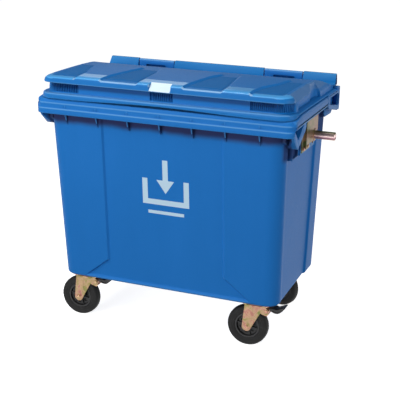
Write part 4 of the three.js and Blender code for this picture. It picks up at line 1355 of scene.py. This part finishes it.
def lid_beam(x0, x1, open_left, open_right):
    """Rear beam, rounded, hollow below, with a recessed end where it ends in the open."""
    sec = [(344, 1164), (344, 1172), (346, 1174.5), (350, 1177), (352, 1180), (365, 1213), (367, 1216.5), (370.5, 1218.5), (381, 1218.5), (384, 1217), (385, 1214), (385, 1168), (383, 1166), (381, 1164)]
    hollow = [(355, 1150), (355, 1176), (369, 1209), (372, 1212.5), (380, 1212.5), (381, 1150)]
    o = temp(prism("x", sec, x0, x1, bevel=1.4, seg=2, angle=35))
    cuts = []
    a, b = x0 + 6, x1 - 6
    if open_left:
        a, b = x0 + 14, b
        cuts.append(prism("x", [(350, 1168), (350, 1173), (354, 1179), (368, 1212), (371, 1214), (381, 1214), (381, 1168)], x0 - 5, x0 + 9, bevel=0))
    if open_right:
        a, b = a, x1 - 14
        cuts.append(prism("x", [(350, 1168), (350, 1173), (354, 1179), (368, 1212), (371, 1214), (381, 1214), (381, 1168)], x1 - 9, x1 + 5, bevel=0))
    cuts.append(prism("x", hollow, a, b, bevel=0))
    pins = {True: [], False: []}
    for lo, hi in ((-464, -440), (-248, -220), (220, 248), (440, 464)):
        if lo < x1 and hi > x0:
            cuts.append(prism("x", arc(374, 1205, 6.3, 0, 345, 23), lo, hi, bevel=0))
    slant = [(x0 - 20, 1150), (x1 + 20, 1150), (x1 + 20, 1240), (x0 - 20, 1240)]
    if open_left:
        slant = [(x0, 1150), (x1 + 20, 1150), (x1 + 20, 1240), (x0 + 11, 1240), (x0 + 9, 1219), (x0, 1176)]
    if open_right:
        slant = [(x0 - 20, 1150), (x1, 1150), (x1, 1176), (x1 - 3, 1219), (x1 - 4, 1240), (x0 - 20, 1240)]
    boolean(o, [prism("y", slant, 300, 420, bevel=0)], "INTERSECT")
    boolean(o, cuts, "DIFFERENCE")
    bm = bmesh.new()
    bm.from_mesh(o.data)
    me = o.data
    bpy.data.objects.remove(o)
    bpy.data.meshes.remove(me)
    return bm


def make_lid():
    bm = lid_shell()
    me = bpy.data.meshes.new("lid_cover")
    bm2 = bm
    for v in bm2.verts:
        v.co = v.co * S
    extra = bmesh.new()
    shells = comb_ribs()
    n_comb = len(shells)
    shells += [lid_beam(-242, 242, False, False), lid_beam(446, 613, False, True), lid_beam(-613, -446, True, False)]
    for x in (-150, 0, 150, 350, 560, -350, -560):
        shells.append(prism("x", [(336, 1166), (344, 1150), (376, 1166), (380, 1212), (370, 1212), (352, 1176)], x - 2, x + 2, bevel=0.6) if abs(x) != 350 else prism("x", [(330, 1166), (345, 1160), (345, 1172), (330, 1172)], x - 2, x + 2, bevel=0.4))
    for b in shells:
        for v in b.verts:
            v.co = v.co * S
        for f in b.faces:
            f.material_index = 4 if shells.index(b) >= n_comb else 0
        t = bpy.data.meshes.new("t")
        b.to_mesh(t)
        b.free()
        bm2.from_mesh(t)
        bpy.data.meshes.remove(t)
    extra.free()
    bm2.to_mesh(me)
    bm2.free()
    for m in (M_LID, M_FIELD, M_PAD, M_GLINT, M_BEAM):
        me.materials.append(m)
    return finish_piece(me, "lid_cover", "lid", ["lid"], 30)


make_lid()

# ================================================================ printed mark
def wall_front(z):
    t = (z - FLOOR_Z) / (WALL_TOP_Z - FLOOR_Z)
    return lerp(*YF, t) + PANEL_DEPTH


def make_mark():
    """A plain sign of an arrow pointing down into an open tray, with a bar under it."""
    p = Piece("printed_sign")
    w = 13.0
    shapes = [
        [(12 - w, 884), (12 + w, 884), (12 + w, 786), (12 + 44, 786), (12, 722), (12 - 44, 786), (12 - w, 786)],
        [(-104, 790), (-78, 790), (-78, 690), (102, 690), (102, 790), (128, 790), (128, 664), (-104, 664)],
        [(-78, 634), (102, 634), (102, 618), (-78, 618)]]
    for s in shapes:
        bm = prism("y", s, 0, 1, bevel=0)
        bmesh.ops.triangulate(bm, faces=bm.faces)
        bmesh.ops.subdivide_edges(bm, edges=bm.edges, cuts=1)
        for v in bm.verts:
            v.co.y = wall_front(v.co.z) - 0.3 + 0.6 * v.co.y
        p.add(bm, M_PRINT)
    return p.done("container", [])


make_mark()

# ================================================================ castors
CASTORS = {"front_left": (-445, -220, 0, True), "front_right": (445, -220, 0, True), "rear_left": (-445, 284, -20, False), "rear_right": (445, 284, -20, False)}
TRAIL, WHEEL_R = 46.0, 100.0
CX = -TRAIL


def placed(bm, x, y, deg):
    bm.transform(Matrix.Translation((x, y, 0)) @ Matrix.Rotation(math.radians(deg), 4, "Z"))
    return bm


def from_object(o):
    bm = bmesh.new()
    bm.from_mesh(o.data)
    me = o.data
    bpy.data.objects.remove(o)
    bpy.data.meshes.remove(me)
    return bm


def hexagon(u, v, af, turn=0.0):
    r = af / 2 / math.cos(math.pi / 6)
    return [(u + r * math.cos(math.radians(60 * i + turn)), v + r * math.sin(math.radians(60 * i + turn))) for i in range(6)]


def hex_head(axis, u, v, af, a, b):
    """Hexagon from a to b with the corners of its outer face turned off."""
    o = temp(prism(axis, hexagon(u, v, af, 12), a, b, bevel=0))
    r, d = af / 2, (1 if b > a else -1)
    cone = lathe(axis, [(0, a - d), (r * 1.3, a - d), (r * 1.3, b - d * r * 0.24), (r * 0.97, b), (0, b)], u, v, 48, closed=False)
    boolean(o, [cone], "INTERSECT")
    return rounded(from_object(o), 0.35, 1)


def rounded_rect(x0, x1, y0, y1, r, n=5):
    return arc(x1 - r, y0 + r, r, -90, 0, n) + arc(x1 - r, y1 - r, r, 0, 90, n) + arc(x0 + r, y1 - r, r, 90, 180, n) + arc(x0 + r, y0 + r, r, 180, 270, n)


def plate_shape():
    holes = [arc(bx, by, 5.4, 0, 345, 23) for bx in (-52, 52) for by in (-38, 38)]
    plate = prism("z", rounded_rect(-67, 67, -52, 52, 10), 224.8, 229.6, holes=holes, bevel=0.9)
    race = lathe("z", [(7.3, 225.2), (31, 225.2), (32.4, 224.2), (32.6, 222.4), (31.6, 220.6), (29, 219.0), (26.4, 217.9), (24, 217.3), (7.3, 217.3)], 0, 0, 64)
    king = lathe("z", [(0, 224.6), (7, 224.6), (7, 211.0), (10.6, 211.0), (11.2, 210.4), (11.2, 208.8), (9.6, 207.8), (4.4, 207.2), (0, 207.0)], 0, 0, 40, closed=False)
    return plate, race, king


def fork_shape(braked):
    """Two pressed legs joined by a crown, with a proud strip down each leg."""
    out = []
    leg = arc(CX, WHEEL_R, 22, 180, 346, 22) + [(CX + 66.5, 178.5), (CX + 69, 183), (CX + 83, 211), (CX + 84, 213.4), (CX + 84, 216.4), (CX - 11, 216.4)]
    ear = [(CX + 60, 173), (CX + 66, 178.5), (CX + 76, 174.2), (CX + 85, 172.4), (CX + 94, 174.6), (CX + 101, 179), (CX + 105.6, 186), (CX + 106, 193), (CX + 104, 201), (CX + 84, 216.2), (CX + 60, 216.2)]
    strip = arc(CX, WHEEL_R, 17.6, 150, 390, 20) + [(CX + 27, 146), (CX + 28.4, 205), (CX + 24, 209.6), (CX - 2, 209.6), (CX - 6.4, 205)]
    for s in (-1, 1):
        a, b = sorted((s * 27.6, s * 31.4))
        o = temp(prism("y", leg, a, b, bevel=0))
        add = [prism("y", strip, *sorted((s * 30.4, s * 33.0)), bevel=1.1, seg=3)]
        if braked:
            add.append(prism("y", ear, a, b, bevel=0))
            add.append(lathe("y", [(5.6, s * 29), (11.5, s * 29), (11.5, s * 32.0), (10.6, s * 32.6), (5.6, s * 32.6)], CX + 96, 192, 40))
        boolean(o, add)
        boolean(o, [prism("y", arc(CX, WHEEL_R, 6.3, 0, 345, 23), *sorted((s * 26, s * 35)), bevel=0)] + ([prism("y", arc(CX + 96, 192, 5.2, 0, 345, 23), *sorted((s * 26, s * 35)), bevel=0)] if braked else []), "DIFFERENCE")
        out.append(rounded(from_object(o), 0.7, 2, angle=40))
    crown = [(CX - 11, -24)] + arc(CX - 4, -24.4, 7, 180, 270, 5) + arc(CX + 77, -24.4, 7, 270, 360, 5) + arc(CX + 77, 24.4, 7, 0, 90, 5) + arc(CX - 4, 24.4, 7, 90, 180, 5)
    out.append(prism("z", crown[1:], 212.2, 216.5, holes=[arc(0, 0, 12.0, 0, 345, 23)], bevel=1.0, seg=3))
    # the crown turns down into the legs
    for s in (-1, 1):
        a, b = sorted((s * 25.2, s * 28.2))
        out.append(prism("y", [(CX - 10, 196), (CX + 74, 196), (CX + 82, 212.4), (CX - 10, 212.4)], a, b, bevel=1.0, seg=2))
    return out


def tyre_shape():
    side = [(62.2, 18.6), (66, 20.6), (69.6, 21.9), (71.2, 22.5), (72.4, 21.9), (73.6, 21.9), (74.8, 22.8), (80, 23.3), (82.6, 23.3), (83.8, 22.5), (85.2, 22.5), (86.4, 23.0), (90, 22.3), (94.0, 20.4), (97.2, 17.2), (99.0, 13.2), (99.8, 8.6)]
    prof = side + [(100, 4), (100, 0.9), (100.0, 0.5), (100.0, -0.5), (100.0, -0.9), (100, -4)] + [(r, -y) for r, y in side[::-1]]
    return lathe("y", prof, CX, WHEEL_R, 112)


def hub_shape():
    prof = [(6.5, -24.6), (12.6, -24.6), (13.6, -23.8), (16, -10.5), (17.5, -8.2), (20, -7.2), (46.5, -6.0), (49.5, -7.0), (51, -9.5), (52.2, -17.6), (53.2, -19.0), (55, -19.6),
            (59.4, -19.6), (61, -18.8), (61.6, -17.2), (61.6, 17.2), (61, 18.8), (59.4, 19.6), (55, 19.6), (53.2, 19.0), (52.2, 17.6), (51, 9.5), (49.5, 7.0), (46.5, 6.0), (20, 7.2), (17.5, 8.2), (16, 10.5), (13.6, 23.8), (12.6, 24.6), (6.5, 24.6)]
    o = temp(lathe("y", prof, CX, WHEEL_R, 96))
    holes, ribs = [], []
    for i in range(6):
        a = math.radians(60 * i + 18)
        for k in (-1, 1):
            holes.append(prism("y", arc(CX + 34.5 * math.cos(a), WHEEL_R + 34.5 * math.sin(a), 8.6, 0, 345, 23), *sorted((k * 1.5, k * 15)), bevel=0))
        a = math.radians(60 * i + 48)
        c, s_ = math.cos(a), math.sin(a)
        for k in (-1, 1):
            pts = [(12, -1.6), (52, -1.6), (52, 1.6), (12, 1.6)]
            rib = prism("y", [(CX + u * c - v * s_, WHEEL_R + u * s_ + v * c) for u, v in pts], *sorted((k * 5.0, k * 15.5)), bevel=0)
            for v in rib.verts:
                if abs(v.co.y) > 10 and math.hypot(v.co.x - CX, v.co.z - WHEEL_R) > 30:
                    v.co.y = k * 13.0
            ribs.append(rib)
    boolean(o, ribs)
    boolean(o, holes, "DIFFERENCE")
    return from_object(o)


def axle_shapes():
    out = [lathe("y", [(0, -34.4), (5.9, -34.4), (5.9, 36.6), (5.2, 37.4), (0, 37.4)], CX, WHEEL_R, 32, closed=False)]
    out.append(lathe("y", [(5.95, -33.2), (11.6, -33.2), (12.2, -33.5), (12.2, -34.3), (11.6, -34.7), (5.95, -34.7)], CX, WHEEL_R, 48))
    out.append(lathe("y", [(0, -34.6), (9.2, -34.6), (9.4, -35.6), (9.0, -37.6), (7.2, -39.2), (4.0, -40.0), (0, -40.2)], CX, WHEEL_R, 48, closed=False))
    nut = [hex_head("y", CX, WHEEL_R, 19, 33.4, 39.6), lathe("y", [(5.95, 33.0), (11.8, 33.0), (11.8, 34.0), (5.95, 34.0)], CX, WHEEL_R, 48)]
    return out, nut


def bolt_shapes(bx, by):
    return [lathe("z", [(0, 222.6), (5.0, 222.6), (5.0, 247.6), (0, 247.6)], bx, by, 24, closed=False), hex_head("z", bx, by, 16, 224.6, 218.4),
            lathe("z", [(5.05, 223.6), (9.4, 223.6), (9.4, 224.7), (5.05, 224.7)], bx, by, 32)]


def pedal_shape():
    main = [(CX + 104.4, 206.8), (CX + 118, 208.2), (CX + 132, 208.8), (CX + 137, 207.4), (CX + 141, 205.6), (CX + 149, 208.4), (CX + 158, 213), (CX + 170, 218.4), (CX + 180, 221.8), (CX + 183, 221.4), (CX + 183.4, 219.4),
            (CX + 176, 209.6), (CX + 168, 200.4), (CX + 158, 192.2), (CX + 150, 188.4), (CX + 141, 187.6), (CX + 132, 188.4), (CX + 112, 196.4), (CX + 108, 200.2)]
    o = temp(prism("y", main, -26.8, 26.8, bevel=0))
    hollow = [(CX + 124, 196.4), (CX + 134, 192.8), (CX + 149, 192.6), (CX + 158, 197), (CX + 166, 205), (CX + 158, 206.8), (CX + 143, 200.4), (CX + 134, 203.6), (CX + 124, 203.4)]
    boolean(o, [prism("y", hollow, -40, -21.5, bevel=0), prism("y", hollow, 21.5, 40, bevel=0)], "DIFFERENCE")
    out = [rounded(from_object(o), 1.4, 3, angle=30)]
    for i in range(5):                                       # grip bars across the tread
        u = CX + 150 + 6.2 * i
        z = 209.2 + 2.62 * i
        out.append(prism("y", [(u, z - 1), (u + 2.8, z + 0.2), (u + 2.2, z + 1.9), (u + 0.6, z + 1.4)], -22, 22, bevel=0.4))
    return out


def cam_shape():
    o = temp(lathe("y", [(5.6, -26.4), (9.2, -26.4), (10, -25.6), (10, 25.6), (9.2, 26.4), (5.6, 26.4)], CX + 96, 192, 40))
    shoe = prism("y", [(CX + 76, 180), (CX + 88, 186), (CX + 98, 186), (CX + 103.4, 173), (CX + 96, 165.4), (CX + 84, 166.4)], -21.6, 21.6, bevel=0)
    tongue = prism("y", [(CX + 98, 184), (CX + 100, 200), (CX + 112, 203.4), (CX + 126, 201.6), (CX + 126, 197.2), (CX + 112, 198.0), (CX + 105, 193.4), (CX + 104, 186)], -17.6, 17.6, bevel=0)
    boolean(o, [shoe, tongue])
    boolean(o, [prism("y", arc(CX, WHEEL_R, 106.4, 0, 357, 119), -60, 60, bevel=0), prism("y", arc(CX + 96, 192, 5.75, 0, 345, 23), -60, 60, bevel=0)], "DIFFERENCE")
    return rounded(from_object(o), 0.7, 2, angle=35)


def make_castors():
    for c, (x, y, deg, braked) in CASTORS.items():
        fork_body, wheel_body = "fork_" + c, "wheel_" + c
        plate, race, king = plate_shape()
        p = Piece("castor_top_plate_" + c)
        for bm, m in ((plate, M_ZINC), (race, M_ZINC2), (king, M_BOLT)):
            p.add(placed(bm, x, y, 0), m)
        p.done("container", ["castor_plate_" + c])
        p = Piece("castor_bolts_" + c)
        for bx in (-52, 52):
            for by in (-38, 38):
                for bm in bolt_shapes(bx, by):
                    p.add(placed(bm, x, y, 0), M_BOLT)
        p.done("container", ["castor_bolt_%s_%d" % (c, i) for i in (1, 2, 3, 4)])
        p = Piece("pressed_fork_" + c)
        for bm in fork_shape(braked):
            p.add(placed(bm, x, y, deg), M_ZINC)
        p.done(fork_body, ["castor_fork_" + c])
        bolt, nut = axle_shapes()
        p = Piece("axle_" + c)
        for bm in bolt:
            p.add(placed(bm, x, y, deg), M_BOLT)
        p.done(fork_body, ["axle_bolt_" + c])
        p = Piece("axle_lock_nut_" + c)
        for bm in nut:
            p.add(placed(bm, x, y, deg), M_BOLT)
        p.done(fork_body, ["axle_nut_" + c])
        p = Piece("moulded_hub_" + c)
        p.add(placed(hub_shape(), x, y, deg), M_HUB)
        p.done(wheel_body, ["wheel_hub_" + c])
        p = Piece("solid_tyre_" + c)
        p.add(placed(tyre_shape(), x, y, deg), M_TYRE)
        p.done(wheel_body, ["wheel_tyre_" + c], angle=40)
        if braked:
            p = Piece("brake_treadle_" + c)
            for bm in pedal_shape():
                p.add(placed(bm, x, y, 0), M_BLACK)
            p.done("brake_" + c, ["brake_pedal_" + c])
            p = Piece("brake_shoe_" + c)
            p.add(placed(cam_shape(), x, y, 0), M_ZINC_RED)
            p.done("brake_" + c, ["brake_cam_" + c])
            p = Piece("brake_pivot_" + c)
            p.add(placed(lathe("y", [(0, -36.2), (4.4, -36.0), (7.2, -35.2), (8, -33.6), (8, -32.8), (4.9, -32.8), (4.9, 32.8), (8, 32.8), (8, 33.6), (7.2, 35.2), (4.4, 36.0), (0, 36.2)], CX + 96, 192, 40, closed=False), x, y, 0), M_BOLT)
            p.done(fork_body, ["brake_pin_" + c])


make_castors()


# ================================================================ trunnions
def make_trunnions():
    for s, n in ((1, "right"), (-1, "left")):
        x0, xf = 568.3, 584.0

        def slab(pts, a, b, bevel=0):
            return prism("x", pts, *sorted((s * a, s * b)), bevel=bevel)

        o = temp(slab([(-20, 1083.6), (-20, 955), (8, 918.4), (70, 918.4), (168, 985), (168, 1083.6)], xf - 4, xf))
        boolean(o, [
            slab([(-58, 1000), (-58, 917), (-55, 914.4), (67, 914.4), (70, 917), (70, 946), (-22, 946), (-22, 1000)], x0, x0 + 4),
            slab([(-24, 1083.6), (-24, 930), (-20, 930), (-20, 1083.6)], x0, xf - 0.4),
            slab([(164.4, 1083.2), (164.4, 985), (167.8, 985), (167.8, 1083.2)], x0, xf - 0.4),
            slab([(-22, 950), (-22, 946.4), (72, 946.4), (167.4, 985.4), (165.6, 989), (70, 950)], x0, xf - 0.4),
            slab([(-23.6, 1083.2), (-23.6, 1080), (167.6, 1080), (167.6, 1083.2)], x0, xf - 0.4)])
        boolean(o, [slab([(-22, 944), (8, 900), (90, 900), (90, 944)], xf - 5, xf + 1),
                    prism("x", arc(-32, 930, 5.3, 0, 345, 23), *sorted((s * 560, s * 575)), bevel=0), prism("x", arc(42, 930, 5.3, 0, 345, 23), *sorted((s * 560, s * 575)), bevel=0)], "DIFFERENCE")
        p = Piece("pressed_bracket_" + n)
        p.add(rounded(from_object(o), 1.0, 2, angle=35), M_BRACKET)
        # pressed swage round the pin
        p.add(lathe("x", [(20.4, s * (xf + 0.1)), (31, s * (xf + 0.1)), (29.6, s * (xf + 2.4)), (26.5, s * (xf + 3.4)), (20.4, s * (xf + 3.4))], 118, 968, 64), M_BRACKET)
        p.done("container", ["trunnion_bracket_" + n])
        p = Piece("lifting_pin_" + n)
        prof = [(0, xf + 0.4), (20, xf + 0.4), (20, 680.4), (19.4, 681.8), (17.2, 684.2), (16, 684.9), (9, 685.0), (8, 684.2), (0, 683.8)]
        p.add(lathe("x", [(r, s * t) for r, t in prof], 118, 968, 72, closed=False), M_PIN)
        p.done("container", ["trunnion_pin_" + n])
        for y, k in ((-32, "front"), (42, "rear")):
            p = Piece("flange_bolt_%s_%s" % (n, k))
            a = 572.8
            p.add(hex_head("x", y, 930, 15, s * a, s * (a + 6.4)), M_BOLT)
            p.add(lathe("x", [(5.05, s * (a - 0.4)), (9.8, s * (a - 0.4)), (9.8, s * (a + 0.9)), (8.6, s * (a + 1.4)), (5.05, s * (a + 1.4))], y, 930, 40), M_BOLT)
            p.add(lathe("x", [(0, s * 560.4), (5, s * 560.4), (5, s * (a + 1)), (0, s * (a + 1))], y, 930, 24, closed=False), M_BOLT)
            p.done("container", ["bracket_bolt_%s_%s" % (n, k)])


make_trunnions()

# ================================================================ carried-over nodes
for name, ob in NODES.items():
    if ob.hide_render:
        continue
    if name.startswith("wheel_tyre"):
        mat = M_TYRE
    elif name.startswith("wheel_hub"):
        mat = M_HUB
    elif name.startswith("brake_pedal") or name == "drain_plug":
        mat = M_BLACK
    elif "bolt" in name or "nut" in name or "pin" in name:
        mat = M_BOLT
    else:
        mat = M_ZINC2
    ob.data.materials.clear()
    ob.data.materials.append(mat)
